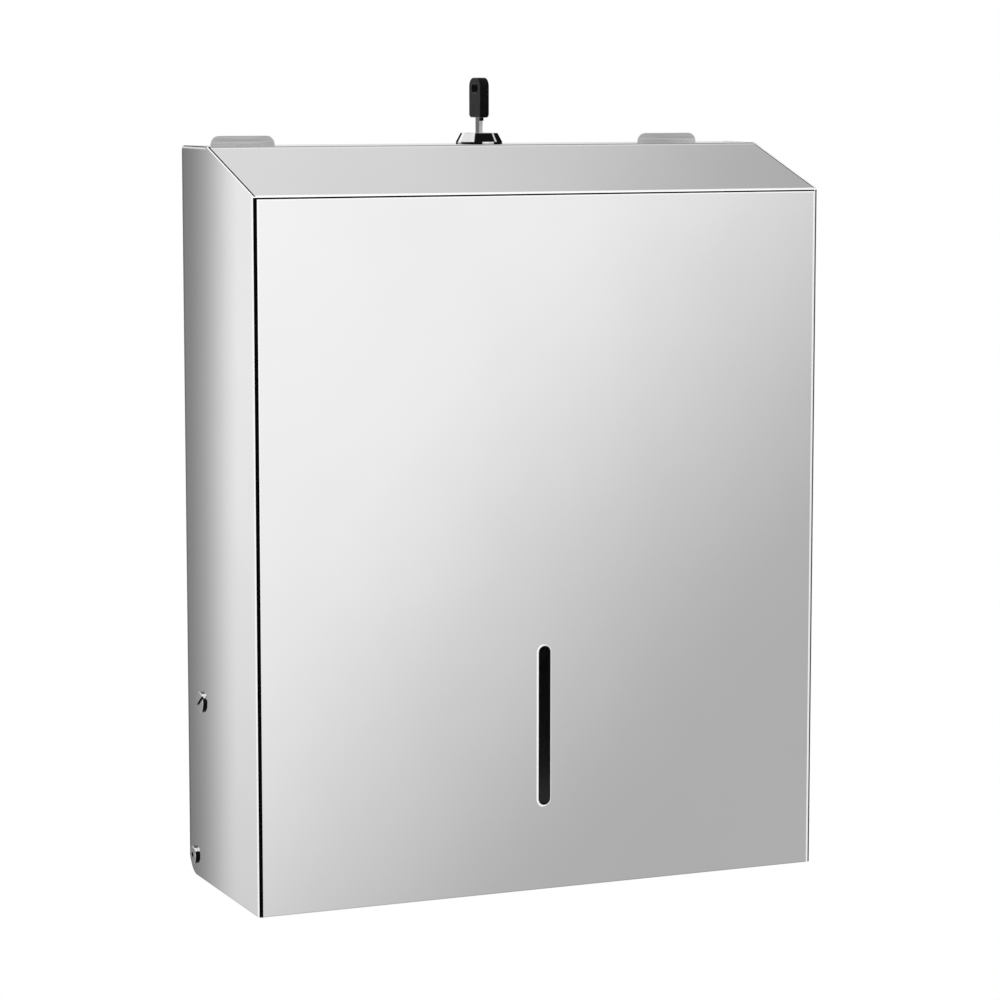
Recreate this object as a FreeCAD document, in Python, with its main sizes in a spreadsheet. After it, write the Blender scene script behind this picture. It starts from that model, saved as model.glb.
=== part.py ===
import FreeCAD, Part
import math
import os
import re
import Sketcher

# Wall-mounted dispenser for folded paper towels. A back plate with a towel
# tray and two side brackets hangs on the wall. A folded sheet cover pivots on
# two rivets low down at the wall and drops forward until two stop screws reach
# the ends of arc slots in the brackets. A wafer lock in the flat top turns a
# cam behind a keeper on the back plate.
#
# Frame: X to the right, Y into the wall, Z up. The wall plane is Y = 0 and the
# origin is the centre of the four wall screw holes.

os.makedirs("parts", exist_ok=True)
doc = FreeCAD.newDocument("towel_dispenser")

# Driving dimensions, in millimetres and degrees. Heights are above the cover's
# lower edge, and insets are forward of the cover's rear edge.
SIZES = (
    # Cover: one folded sheet
    ("cover_width", 275.0),
    ("cover_depth", 98.5),
    ("cover_sheet", 1.0),
    ("front_rise", 316.7),
    ("top_front", 13.0),
    ("slope_rise", 20.3),
    ("side_bend", 1.0),
    ("fold_bend", 0.2),
    ("heel_bend", 10.0),
    ("top_corner", 2.5),
    ("seam_wide", 0.5),
    ("seam_web", 0.2),
    ("flange_drop", 10.0),
    ("relief_wide", 1.6),
    ("relief_deep", 1.6),
    ("view_wide", 6.0),
    ("view_tall", 73.5),
    ("view_rise", 39.0),
    # Back plate
    ("back_sheet", 1.2),
    ("back_rise", 1.5),
    ("back_corner", 6.0),
    ("back_side_gap", 0.6),
    ("cover_gap", 0.3),
    ("tab_wide", 30.6),
    ("tab_rise", 4.2),
    ("tab_bend", 4.0),
    ("tab_bend_share", 0.95),
    ("tab_inset", 14.2),
    ("datum_rise", 170.0),
    ("bolt_spread", 180.0),
    ("bolt_rise", 200.0),
    ("bolt_hole", 3.25),
    # Pivots
    ("pivot_inset", 8.0),
    ("pivot_rise", 9.1),
    ("pivot_shank", 2.4),
    ("pivot_head", 4.1),
    ("pivot_head_thick", 1.3),
    ("pivot_recess", 1.3),
    ("pivot_recess_deep", 1.2),
    ("pivot_tail", 3.5),
    ("pivot_tail_thick", 1.6),
    ("pivot_edge", 0.3),
    ("pivot_washer", 5.5),
    ("washer_thick", 0.9),
    ("side_play", 0.1),
    ("running_gap", 0.05),
    # Side brackets and stops
    ("bracket_sheet", 1.2),
    ("bracket_rise", 2.5),
    ("bracket_rim", 6.0),
    ("bracket_front_gap", 6.5),
    ("bracket_nose_trim", 1.9),
    ("bracket_flange", 14.0),
    ("bracket_flange_gap", 4.0),
    ("bracket_flange_short", 11.6),
    ("stop_reach", 75.2),
    ("stop_lean", 9.6),
    ("open_angle", 50.0),
    ("stop_gap", 0.3),
    ("stop_shank", 2.0),
    ("stop_bush", 3.4),
    ("stop_head", 4.8),
    ("stop_head_thick", 1.3),
    ("stop_edge", 0.3),
    ("stop_slit", 1.6),
    ("stop_slit_deep", 0.8),
    ("stop_slit_turn", 57.0),
    ("stop_nut_half", 3.5),
    ("stop_nut_thick", 2.4),
    ("stop_bush_proud", 0.4),
    ("stop_end", 0.8),
    # Towel tray
    ("tray_sheet", 1.0),
    ("tray_tail_gap", 0.6),
    ("tray_wall", 12.0),
    ("tray_front_gap", 2.5),
    ("tray_notch", 22.0),
    ("mouth_wide", 200.0),
    ("mouth_deep", 50.0),
    ("mouth_corner", 15.0),
    ("mouth_inset", 24.0),
    ("mouth_lip", 3.0),
    # Latch keeper
    ("keeper_sheet", 1.5),
    ("keeper_bend", 0.5),
    ("keeper_catch", 7.0),
    ("keeper_wide", 20.0),
    ("keeper_foot", 20.0),
    ("keeper_under", 1.0),
    ("keeper_lap", 4.0),
    ("latch_gap", 0.5),
    # Lock
    ("lock_inset", 22.0),
    ("lock_head", 10.75),
    ("lock_rim", 1.2),
    ("lock_top", 8.6),
    ("lock_head_tall", 5.2),
    ("barrel_radius", 8.0),
    ("barrel_long", 20.0),
    ("flat_deep", 1.0),
    ("barrel_gap", 0.1),
    ("lock_nut_half", 10.0),
    ("lock_nut_thick", 3.6),
    ("lock_washer", 10.5),
    ("lock_washer_thick", 0.8),
    ("tooth_count", 12),
    ("tooth_wide", 1.6),
    ("tooth_deep", 1.2),
    ("plug_radius", 5.5),
    ("plug_head", 6.5),
    ("plug_head_thick", 1.9),
    ("plug_recess", 0.1),
    ("tail_half", 3.0),
    ("groove_deep", 1.0),
    # Wafers
    ("wafer_count", 4),
    ("wafer_first", 3.0),
    ("wafer_last_gap", 3.5),
    ("wafer_thick", 1.1),
    ("wafer_wide", 5.0),
    ("wafer_long", 9.4),
    ("wafer_slack", 0.05),
    ("wafer_ear", 1.5),
    ("window_slack", 0.2),
    ("spring_radius", 0.5),
    ("spring_wire", 0.11),
    ("spring_turns", 5),
    ("spring_long", 2.4),
    # Cam
    ("cam_thick", 2.5),
    ("cam_hub", 7.0),
    ("cam_wall_gap", 3.3),
    ("cam_wide", 9.0),
    ("cam_washer", 5.0),
    ("cam_washer_thick", 0.8),
    ("cam_screw", 1.6),
    ("cam_screw_long", 6.0),
    ("cam_screw_head", 3.4),
    ("cam_screw_head_thick", 2.0),
    ("cam_screw_slit", 1.0),
    ("cam_screw_edge", 0.4),
    ("cam_screw_tip_gap", 0.5),
    # Key
    ("blade_thick", 1.7),
    ("blade_wide", 4.5),
    ("blade_slack", 0.1),
    ("tip_short", 5.7),
    ("tip_flat", 0.5),
    ("blade_show", 7.1),
    ("keyway_spare", 1.4),
    ("tang_gap", 2.25),
    ("notch_wide", 1.6),
    ("notch_deep", 0.7),
    ("bow_wide", 14.6),
    ("bow_tall", 18.4),
    ("bow_thick", 4.4),
    ("bow_top_bend", 4.2),
    ("bow_foot_bend", 1.8),
    ("bow_edge", 0.9),
    ("ring_wide", 7.6),
    ("ring_tall", 4.3),
    ("ring_drop", 5.0),
    ("nub_drop", 1.5),
    ("nub_wide", 1.2),
)
ALIASES = {alias for alias, value in SIZES}

sheet = doc.addObject("Spreadsheet::Sheet", "Sizes")
for row, (alias, value) in enumerate(SIZES, start=1):
    sheet.set(f"A{row}", alias)
    sheet.set(f"B{row}", str(value))
    sheet.setAlias(f"B{row}", alias)
doc.recompute()

# Places that several pieces share, as expressions of the sizes
COVER_HALF = "(cover_width / 2)"
COVER_INNER = f"({COVER_HALF} - cover_sheet)"
COVER_REAR = "(-back_sheet - cover_gap)"
COVER_FRONT = f"({COVER_REAR} - cover_depth)"
COVER_TOP = "(front_rise + slope_rise)"
PAST = "(2 * cover_sheet)"
LOCK_Y = f"({COVER_REAR} - lock_inset)"
FOLD_Y = f"({LOCK_Y} - top_front)"
SLOPE_RUN = "(cover_depth - lock_inset - top_front)"
SLOPE_LONG = f"sqrt({SLOPE_RUN}^2 + slope_rise^2)"
SLOPE_OVER = f"({SLOPE_RUN} / {SLOPE_LONG})"
SLOPE_UP = f"(slope_rise / {SLOPE_LONG})"
FRONT_TURN = f"(({SLOPE_LONG} - slope_rise) / {SLOPE_RUN})"
TOP_TURN = f"(({SLOPE_LONG} - {SLOPE_RUN}) / slope_rise)"
SEAM_DEEP = "(cover_sheet - seam_web)"
BRACKET_OUTER = f"({COVER_INNER} - side_play - washer_thick)"
BRACKET_INNER = f"({BRACKET_OUTER} - bracket_sheet)"
PIVOT_Y = f"({COVER_REAR} - pivot_inset)"
SLOT_HALF = "(stop_bush + stop_gap)"
STOP_Y = f"({PIVOT_Y} - stop_reach * sin(stop_lean))"
STOP_Z = "(pivot_rise + stop_reach * cos(stop_lean))"
TRAY_Z = "(pivot_rise - pivot_tail - tray_tail_gap - tray_sheet)"
TRAY_TOP = f"({TRAY_Z} + tray_wall)"
BARREL_FLAT = "(barrel_radius - flat_deep)"
CAM_TOP = "(barrel_long + running_gap)"
CAM_FOOT = f"({CAM_TOP} + cam_thick)"
CAM_REACH = f"(-{LOCK_Y} - back_sheet - cam_wall_gap)"
TIP_Z = "(tip_short - barrel_long)"
WAFER_PITCH = f"((-{TIP_Z} - wafer_last_gap - wafer_first) / (wafer_count - 1))"
BOW_FOOT = "(lock_head_tall + blade_show)"
TANG_LONG = "(bow_tall - ring_drop - ring_tall / 2 - tang_gap)"

# Lengths closer than this are the same length
SAME = 0.001


def bound(expression):
    """The expression with each size named as a cell of the sheet."""

    def cell(word):
        """The cell of a size, or the word as it is."""
        return f"Sizes.{word[0]}" if word[0] in ALIASES else word[0]

    return re.sub(r"[a-z_]+", cell, expression)


def worth(expression):
    """The value of an expression of sizes."""
    return float(sheet.evalExpression(bound(expression)))


def origin_plane(body, role):
    """One of the body's own origin planes, such as XY_Plane."""
    return next(feature for feature in body.Origin.OriginFeatures if feature.Role == role)


def bind(item, **expressions):
    """Bind properties of an object to expressions of sizes."""
    for name, expression in expressions.items():
        item.setExpression(name.replace("__", "."), bound(expression))


def seat(item, x="0", y="0", z="0", turn=None):
    """Place a sub-part: z is a height above the cover's lower edge."""
    if turn is not None:
        item.Placement = FreeCAD.Placement(FreeCAD.Vector(), turn)
    item.setExpression("Placement.Base.x", bound(x))
    item.setExpression("Placement.Base.y", bound(y))
    item.setExpression("Placement.Base.z", bound(f"{z} - datum_rise"))


def new_body(label):
    """An empty body that becomes the sub-part called label."""
    body = doc.addObject("PartDesign::Body", label)
    body.Label = label
    return body


def new_sketch(body, plane, name, offset="0"):
    """A sketch on an origin plane of the body, offset along the plane's normal."""
    sketch = body.newObject("Sketcher::SketchObject", f"{body.Name}_{name}")
    sketch.AttachmentSupport = (origin_plane(body, plane), [""])
    sketch.MapMode = "FlatFace"
    bind(sketch, AttachmentOffset__Base__z=offset)
    return sketch


def fix(sketch, kind, geometry, point, expression):
    """Hold one coordinate of a sketch point at an expression of sizes."""
    index = sketch.addConstraint(Sketcher.Constraint(kind, -1, 1, geometry, point, worth(expression)))
    sketch.setExpression(f"Constraints[{index}]", bound(expression))


def add_loop(sketch, path):
    """A closed loop through corners (x, y), or (x, y, centre x, centre y, turn).

    The longer form makes the edge that leaves the corner an arc round the
    centre, anticlockwise where turn is 1 and clockwise where it is -1.
    """
    corners = [FreeCAD.Vector(worth(corner[0]), worth(corner[1]), 0) for corner in path]
    count = len(path)
    first = sketch.GeometryCount
    for index, corner in enumerate(path):
        start, end = corners[index], corners[(index + 1) % count]
        if len(corner) == 2:
            sketch.addGeometry(Part.LineSegment(start, end), False)
            continue
        centre = FreeCAD.Vector(worth(corner[2]), worth(corner[3]), 0)
        ends = [math.atan2(point.y - centre.y, point.x - centre.x) for point in (start, end)]
        if corner[4] < 0:
            ends.reverse()
        circle = Part.Circle(centre, FreeCAD.Vector(0, 0, 1), start.distanceToPoint(centre))
        sketch.addGeometry(Part.ArcOfCircle(circle, ends[0], ends[1]), False)
    for index, corner in enumerate(path):
        after = path[(index + 1) % count]
        leave = 1 if len(corner) == 5 and corner[4] < 0 else 2
        arrive = 2 if len(after) == 5 and after[4] < 0 else 1
        follower = first + (index + 1) % count
        sketch.addConstraint(Sketcher.Constraint("Coincident", first + index, leave, follower, arrive))
    for index, corner in enumerate(path):
        point = 2 if len(corner) == 5 and corner[4] < 0 else 1
        fix(sketch, "DistanceX", first + index, point, corner[0])
        fix(sketch, "DistanceY", first + index, point, corner[1])
        if len(corner) == 5:
            chord = corners[(index + 1) % count] - corners[index]
            if abs(chord.y) >= abs(chord.x):
                fix(sketch, "DistanceX", first + index, 3, corner[2])
            else:
                fix(sketch, "DistanceY", first + index, 3, corner[3])


def add_circle(sketch, x, y, radius):
    """A circle in a sketch."""
    centre = FreeCAD.Vector(worth(x), worth(y), 0)
    circle = sketch.addGeometry(Part.Circle(centre, FreeCAD.Vector(0, 0, 1), worth(radius)), False)
    fix(sketch, "DistanceX", circle, 3, x)
    fix(sketch, "DistanceY", circle, 3, y)
    index = sketch.addConstraint(Sketcher.Constraint("Radius", circle, worth(radius)))
    sketch.setExpression(f"Constraints[{index}]", bound(radius))


def box_path(left, low, right, high):
    """A rectangle, as a path for add_loop."""
    return ((left, low), (right, low), (right, high), (left, high))


def rounded_box(left, low, right, high, bend):
    """A rectangle with four round corners, as a path for add_loop."""
    return (
        (f"{left} + {bend}", low),
        (f"{right} - {bend}", low, f"{right} - {bend}", f"{low} + {bend}", 1),
        (right, f"{low} + {bend}"),
        (right, f"{high} - {bend}", f"{right} - {bend}", f"{high} - {bend}", 1),
        (f"{right} - {bend}", high),
        (f"{left} + {bend}", high, f"{left} + {bend}", f"{high} - {bend}", 1),
        (left, f"{high} - {bend}"),
        (left, f"{low} + {bend}", f"{left} + {bend}", f"{low} + {bend}", 1),
    )


def obround(x, low, high, half):
    """An upright slot with round ends, as a path for add_loop."""
    return (
        (f"{x} + {half}", f"{low} + {half}"),
        (f"{x} + {half}", f"{high} - {half}", x, f"{high} - {half}", 1),
        (f"{x} - {half}", f"{high} - {half}"),
        (f"{x} - {half}", f"{low} + {half}", x, f"{low} + {half}", 1),
    )


def raise_from(sketch, length, reverse=False, both=False):
    """Pad the sketch."""
    body = sketch.getParentGeoFeatureGroup()
    pad = body.newObject("PartDesign::Pad", f"{sketch.Name}_pad")
    pad.Profile = sketch
    pad.SideType = "Symmetric" if both else "One side"
    pad.Reversed = reverse
    bind(pad, Length=length)
    return pad


def cut_with(sketch, length=None, reverse=False, both=False):
    """Pocket the sketch, through everything where no length is given."""
    body = sketch.getParentGeoFeatureGroup()
    pocket = body.newObject("PartDesign::Pocket", f"{sketch.Name}_cut")
    pocket.Profile = sketch
    pocket.SideType = "Symmetric" if both else "One side"
    pocket.Reversed = reverse
    if length is None:
        pocket.Type = "ThroughAll"
    else:
        bind(pocket, Length=length)
    return pocket


def spin(sketch):
    """Revolve the sketch a full turn about its vertical axis."""
    body = sketch.getParentGeoFeatureGroup()
    turned = body.newObject("PartDesign::Revolution", f"{sketch.Name}_spin")
    turned.Profile = sketch
    turned.ReferenceAxis = (sketch, ["V_Axis"])
    turned.Angle = 360
    return turned


def round_edges(body, name, radius, chosen):
    """Fillet the straight edges of the body's last shape whose middle and direction are chosen."""
    doc.recompute()
    base = body.Tip
    names = []
    for index, edge in enumerate(base.Shape.Edges, start=1):
        if not isinstance(edge.Curve, Part.Line):
            continue
        run = edge.Vertexes[-1].Point - edge.Vertexes[0].Point
        if chosen(edge.CenterOfMass, run.normalize()):
            names.append(f"Edge{index}")
    fillet = body.newObject("PartDesign::Fillet", f"{body.Name}_{name}")
    fillet.Base = (base, names)
    bind(fillet, Radius=radius)
    return fillet


def near(first, second):
    """Whether two lengths are the same."""
    return abs(first - second) < SAME


def along(run, axis):
    """Whether an edge runs along a frame axis, 0, 1 or 2."""
    return near(abs(run[axis]), 1)


def mirror_across(body, name, features):
    """Repeat features on the other side of the middle plane."""
    mirrored = body.newObject("PartDesign::Mirrored", f"{body.Name}_{name}")
    mirrored.Originals = features
    mirrored.MirrorPlane = (origin_plane(body, "YZ_Plane"), [""])
    body.Tip = mirrored
    return mirrored


sub_parts = []


def finish(item):
    """Take an object as a finished sub-part."""
    sub_parts.append(item)
    return item


# Cover shell


def shoulder(depth):
    """The cover's upper outline at a depth under its outer face, from the front face to the flat top."""
    bend = f"(fold_bend + cover_sheet - {depth})"
    front, front_z = f"({COVER_FRONT} + {depth})", f"(front_rise - {depth} * {FRONT_TURN})"
    fold, fold_z = f"({FOLD_Y} + {depth} * {TOP_TURN})", f"({COVER_TOP} - {depth})"
    low, high = f"{bend} * {FRONT_TURN}", f"{bend} * {TOP_TURN}"
    return (
        (front, f"{front_z} - {low}", f"{front} + {bend}", f"{front_z} - {low}", -1),
        (f"{front} + {low} * {SLOPE_OVER}", f"{front_z} + {low} * {SLOPE_UP}"),
        (f"{fold} - {high} * {SLOPE_OVER}", f"{fold_z} - {high} * {SLOPE_UP}",
         f"{fold} + {high}", f"{fold_z} - {bend}", -1),
        (f"{fold} + {high}", fold_z),
    )


def make_cover_block(name, depth, beyond):
    """The space inside the cover's faces at a depth under them, run on beyond the rear and lower edges."""
    body = new_body(name)
    half = f"({COVER_HALF} - {depth})"
    front, rear = f"({COVER_FRONT} + {depth})", f"({COVER_REAR} + {beyond})"
    bend = f"(side_bend + cover_sheet - {depth})"
    plan = new_sketch(body, "XY_Plane", "plan", f"-{beyond}")
    add_loop(plan, (
        (f"-{half} + {bend}", front),
        (f"{half} - {bend}", front, f"{half} - {bend}", f"{front} + {bend}", 1),
        (half, f"{front} + {bend}"),
        (half, rear),
        (f"-{half}", rear),
        (f"-{half}", f"{front} + {bend}", f"-{half} + {bend}", f"{front} + {bend}", 1),
    ))
    raise_from(plan, f"{COVER_TOP} - {depth} + {beyond}")
    above = new_sketch(body, "YZ_Plane", "above")
    line = shoulder(depth)
    add_loop(above, (
        *line,
        (line[-1][0], f"{COVER_TOP} + {PAST}"),
        (f"{COVER_FRONT} - {PAST}", f"{COVER_TOP} + {PAST}"),
        (f"{COVER_FRONT} - {PAST}", line[0][1]),
    ))
    cut_with(above, both=True)
    return body


def make_cover_shell():
    """Front, sides, slope and flat top folded from one sheet, open behind and below."""
    outer = make_cover_block("cover_faces", "0", "0")
    side_front = f"({COVER_FRONT} + side_bend + cover_sheet)"
    side_front_z = f"(front_rise + (side_bend + cover_sheet) * slope_rise / {SLOPE_RUN})"
    seam = new_sketch(outer, "YZ_Plane", "seam", COVER_INNER)
    add_loop(seam, (
        (side_front, f"{side_front_z} - {SEAM_DEEP}"),
        *shoulder(SEAM_DEEP)[2:],
        (f"{COVER_REAR} + {PAST}", f"{COVER_TOP} - {SEAM_DEEP}"),
        (f"{COVER_REAR} + {PAST}", f"{COVER_TOP} + {PAST}"),
        (side_front, f"{COVER_TOP} + {PAST}"),
    ))
    seam_cut = cut_with(seam, "seam_wide")
    relief = new_sketch(outer, "XY_Plane", "relief", COVER_TOP)
    add_circle(relief, f"{COVER_INNER} - seam_wide / 2", FOLD_Y, "relief_wide / 2")
    relief_cut = cut_with(relief, "relief_deep")
    corners = new_sketch(outer, "YZ_Plane", "corners", COVER_INNER)
    for bend, edge, turn in (("heel_bend", "0", 1), ("top_corner", COVER_TOP, -1)):
        start, end = (f"{COVER_REAR} - {bend}", edge), (COVER_REAR, f"{edge} + {turn} * {bend}")
        centre = (f"{COVER_REAR} - {bend}", f"{edge} + {turn} * {bend}")
        add_loop(corners, (
            (*start, *centre, turn),
            end,
            (f"{COVER_REAR} + {PAST}", end[1]),
            (f"{COVER_REAR} + {PAST}", f"{edge} - {turn} * {PAST}"),
            (start[0], f"{edge} - {turn} * {PAST}"),
        ))
    corner_cut = cut_with(corners, PAST, reverse=True)
    mirror_across(outer, "other_side", [seam_cut, relief_cut, corner_cut])

    view = new_sketch(outer, "XZ_Plane", "view")
    add_loop(view, obround("0", "view_rise", "view_rise + view_tall", "view_wide / 2"))
    cut_with(view, both=True)
    pins = new_sketch(outer, "YZ_Plane", "pins")
    add_circle(pins, PIVOT_Y, "pivot_rise", "pivot_shank + running_gap")
    add_circle(pins, STOP_Y, STOP_Z, "stop_shank")
    cut_with(pins, both=True)
    lock = new_sketch(outer, "XY_Plane", "lock")
    add_loop(lock, flatted_circle(LOCK_Y, "barrel_radius + barrel_gap", f"{BARREL_FLAT} + barrel_gap"))
    cut_with(lock, both=True)

    inner = make_cover_block("cover_room", "cover_sheet", PAST)
    flange = new_sketch(inner, "YZ_Plane", "flange", f"{COVER_INNER} - cover_sheet")
    under = f"({COVER_TOP} - cover_sheet - flange_drop)"
    flange_rear = f"({COVER_REAR} - flange_drop / 2)"
    add_loop(flange, (
        (flange_rear, under),
        (flange_rear, f"{COVER_TOP} + {PAST}"),
        (side_front, f"{COVER_TOP} + {PAST}"),
        (side_front, f"{side_front_z} - cover_sheet - flange_drop"),
        (FOLD_Y, under),
    ))
    flange_cut = cut_with(flange, PAST, reverse=True)
    mirror_across(inner, "other_side", [flange_cut])

    shell = doc.addObject("Part::Cut", "cover_shell")
    shell.Base = outer
    shell.Tool = inner
    seat(shell)
    return finish(shell)


def flatted_circle(y, radius, flat):
    """A circle with a flat on its left and its right, as a path for add_loop."""
    rise = f"sqrt(({radius})^2 - ({flat})^2)"
    return (
        (flat, f"{y} - {rise}"),
        (flat, f"{y} + {rise}", "0", y, 1),
        (f"-({flat})", f"{y} + {rise}"),
        (f"-({flat})", f"{y} - {rise}", "0", y, 1),
    )


# Back plate, brackets, tray and keeper


def make_back_plate():
    """Flat plate on the wall with two tabs that stand up behind the cover's top."""
    body = new_body("back_plate")
    half = f"({COVER_HALF} - back_side_gap)"
    tab_out = f"({COVER_HALF} - tab_inset)"
    tab_in = f"({tab_out} - tab_wide)"
    tab_top = f"({COVER_TOP} + tab_rise)"
    right = (
        (half, "back_rise"),
        (half, COVER_TOP),
        (tab_out, COVER_TOP),
        (tab_out, tab_top),
        (tab_in, tab_top),
        (tab_in, COVER_TOP),
    )
    left = tuple((f"-{x}", z) for x, z in reversed(right))
    plate = new_sketch(body, "XZ_Plane", "plate")
    add_loop(plate, right + left)
    raise_from(plate, "back_sheet")
    low, high, tab, edge = worth("back_rise"), worth(COVER_TOP), worth(tab_top), worth(half)

    def at_height(up):
        """Picks the edges through the sheet at a height."""
        return lambda at, run: along(run, 1) and near(at.z, up)

    def at_top_sides(at, run):
        """Picks the two edges through the sheet at its upper outer corners."""
        return along(run, 1) and near(at.z, high) and near(abs(at.x), edge)

    round_edges(body, "corners", "back_corner", at_height(low))
    round_edges(body, "tab_corners", "min(tab_bend; tab_bend_share * tab_rise)", at_height(tab))
    round_edges(body, "top_corners", "top_corner", at_top_sides)
    holes = new_sketch(body, "XZ_Plane", "holes")
    for across in ("-bolt_spread / 2", "bolt_spread / 2"):
        for up in ("datum_rise - bolt_rise / 2", "datum_rise + bolt_rise / 2"):
            add_circle(holes, across, up, "bolt_hole")
    cut_with(holes, both=True)
    seat(body)
    return finish(body)


def on_arc(radius, lean):
    """A point at a radius from the pivot, leaning forward from upright."""
    return (f"{PIVOT_Y} - ({radius}) * sin({lean})", f"pivot_rise + ({radius}) * cos({lean})")


def make_bracket(name, side):
    """Quadrant plate beside the tray, with the arc slot for the stop and a flange on the back plate."""
    body = new_body(name)
    rim = f"(stop_reach + {SLOT_HALF} + bracket_rim)"
    heel = "(-back_sheet)"
    nose = f"max({COVER_FRONT} + cover_sheet + bracket_front_gap; {PIVOT_Y} - {rim} + bracket_nose_trim)"
    heel_rise = f"pivot_rise + sqrt({rim}^2 - ({heel} - {PIVOT_Y})^2)"
    nose_rise = f"pivot_rise + sqrt({rim}^2 - ({nose} - {PIVOT_Y})^2)"
    plate = new_sketch(body, "YZ_Plane", "plate", f"{side} * {BRACKET_OUTER}")
    add_loop(plate, (
        (heel, "bracket_rise"),
        (heel, heel_rise, PIVOT_Y, "pivot_rise", 1),
        (nose, nose_rise),
        (nose, "bracket_rise"),
    ))
    raise_from(plate, "bracket_sheet", reverse=side > 0)
    flange = new_sketch(body, "XZ_Plane", "flange", "back_sheet")
    inner, outer = f"{side} * ({BRACKET_INNER} - bracket_flange)", f"{side} * {BRACKET_OUTER}"
    low, high = f"{TRAY_TOP} + bracket_flange_gap", f"{heel_rise} - bracket_flange_short"
    add_loop(flange, box_path(inner, low, outer, high))
    raise_from(flange, "bracket_sheet")
    slot = new_sketch(body, "YZ_Plane", "slot")
    shut, wide = "stop_lean", "(stop_lean + open_angle)"
    near_radius, far_radius = f"stop_reach - {SLOT_HALF}", f"stop_reach + {SLOT_HALF}"
    add_loop(slot, (
        (*on_arc(far_radius, shut), PIVOT_Y, "pivot_rise", 1),
        (*on_arc(far_radius, wide), *on_arc("stop_reach", wide), 1),
        (*on_arc(near_radius, wide), PIVOT_Y, "pivot_rise", -1),
        (*on_arc(near_radius, shut), *on_arc("stop_reach", shut), 1),
    ))
    cut_with(slot, both=True)
    pivot = new_sketch(body, "YZ_Plane", "pivot")
    add_circle(pivot, PIVOT_Y, "pivot_rise", "pivot_shank")
    cut_with(pivot, both=True)
    seat(body)
    return finish(body)


def make_towel_tray():
    """Shallow pan with a lipped mouth that the towels are drawn through."""
    body = new_body("towel_tray")
    front = f"({COVER_FRONT} + cover_sheet + tray_front_gap)"
    rear = "(-back_sheet)"
    pan = new_sketch(body, "XY_Plane", "pan", TRAY_Z)
    add_loop(pan, box_path(f"-{BRACKET_INNER}", front, BRACKET_INNER, rear))
    raise_from(pan, "tray_wall")
    hollow = new_sketch(body, "XY_Plane", "hollow", TRAY_TOP)
    add_loop(hollow, box_path(f"-{BRACKET_INNER} + tray_sheet", f"{front} + tray_sheet",
                              f"{BRACKET_INNER} - tray_sheet", f"{rear} - tray_sheet"))
    cut_with(hollow, "tray_wall - tray_sheet")
    notch = new_sketch(body, "XY_Plane", "notch", TRAY_TOP)
    for side in (-1, 1):
        wall = f"{side} * ({BRACKET_INNER} - tray_sheet - pivot_tail_thick)"
        outside = f"{side} * ({BRACKET_INNER} + {PAST})"
        add_loop(notch, box_path(wall, f"{rear} - tray_notch", outside, PAST))
    cut_with(notch, "tray_wall - tray_sheet")
    mouth_rear = f"({COVER_REAR} - mouth_inset)"
    mouth_front = f"({mouth_rear} - mouth_deep)"
    collar = new_sketch(body, "XY_Plane", "collar", TRAY_Z)
    add_loop(collar, rounded_box("(-mouth_wide / 2 - tray_sheet)", f"({mouth_front} - tray_sheet)",
                                 "(mouth_wide / 2 + tray_sheet)", f"({mouth_rear} + tray_sheet)",
                                 "(mouth_corner + tray_sheet)"))
    raise_from(collar, "mouth_lip", reverse=True)
    mouth = new_sketch(body, "XY_Plane", "mouth")
    add_loop(mouth, rounded_box("(-mouth_wide / 2)", mouth_front,
                                "(mouth_wide / 2)", mouth_rear, "mouth_corner"))
    cut_with(mouth, both=True)
    seat(body)
    return finish(body)


def make_latch_keeper():
    """Bracket on the back plate whose raised lip holds the turned cam."""
    body = new_body("latch_keeper")
    arm_top = f"({COVER_TOP} - {CAM_FOOT} - keeper_under)"
    arm_foot = f"({arm_top} - keeper_sheet)"
    heel = "(-back_sheet)"
    lip = f"({LOCK_Y} - cam_wide / 2 - latch_gap)"
    lip_top = f"({COVER_TOP} - {CAM_TOP} + keeper_lap)"
    profile = new_sketch(body, "YZ_Plane", "profile", f"{CAM_REACH} - keeper_catch")
    add_loop(profile, (
        (heel, arm_top),
        (lip, arm_top),
        (lip, lip_top),
        (f"{lip} - keeper_sheet", lip_top),
        (f"{lip} - keeper_sheet", arm_foot),
        (f"{heel} - keeper_sheet", arm_foot),
        (f"{heel} - keeper_sheet", f"{arm_foot} - keeper_foot"),
        (heel, f"{arm_foot} - keeper_foot"),
    ))
    raise_from(profile, "keeper_wide")
    front, back, level, under = worth(lip), worth(heel), worth(arm_top), worth(arm_foot)
    sheet_thick = worth("keeper_sheet")

    def outside(at, run):
        """The long outer edges of the two bends."""
        nose = near(at.y, front - sheet_thick) and near(at.z, under)
        return along(run, 0) and (nose or (near(at.y, back) and near(at.z, level)))

    def inside(at, run):
        """The long inner edges of the two bends."""
        foot = near(at.y, back - sheet_thick) and near(at.z, under)
        return along(run, 0) and (foot or (near(at.y, front) and near(at.z, level)))

    round_edges(body, "outer_bends", "keeper_sheet + keeper_bend", outside)
    round_edges(body, "inner_bends", "keeper_bend", inside)
    seat(body)
    return finish(body)


# Pivots and stops, each made about its own axis with +Z out of the cover


def facing(side):
    """The turn that points a piece's own +Z out of the side."""
    return FreeCAD.Rotation(FreeCAD.Vector(0, 1, 0), 90 * side)


def turned_piece(name, profile):
    """A body revolved from a profile of (radius, height) corners."""
    body = new_body(name)
    sketch = new_sketch(body, "XZ_Plane", "profile")
    add_loop(sketch, profile)
    spin(sketch)
    return body


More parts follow.
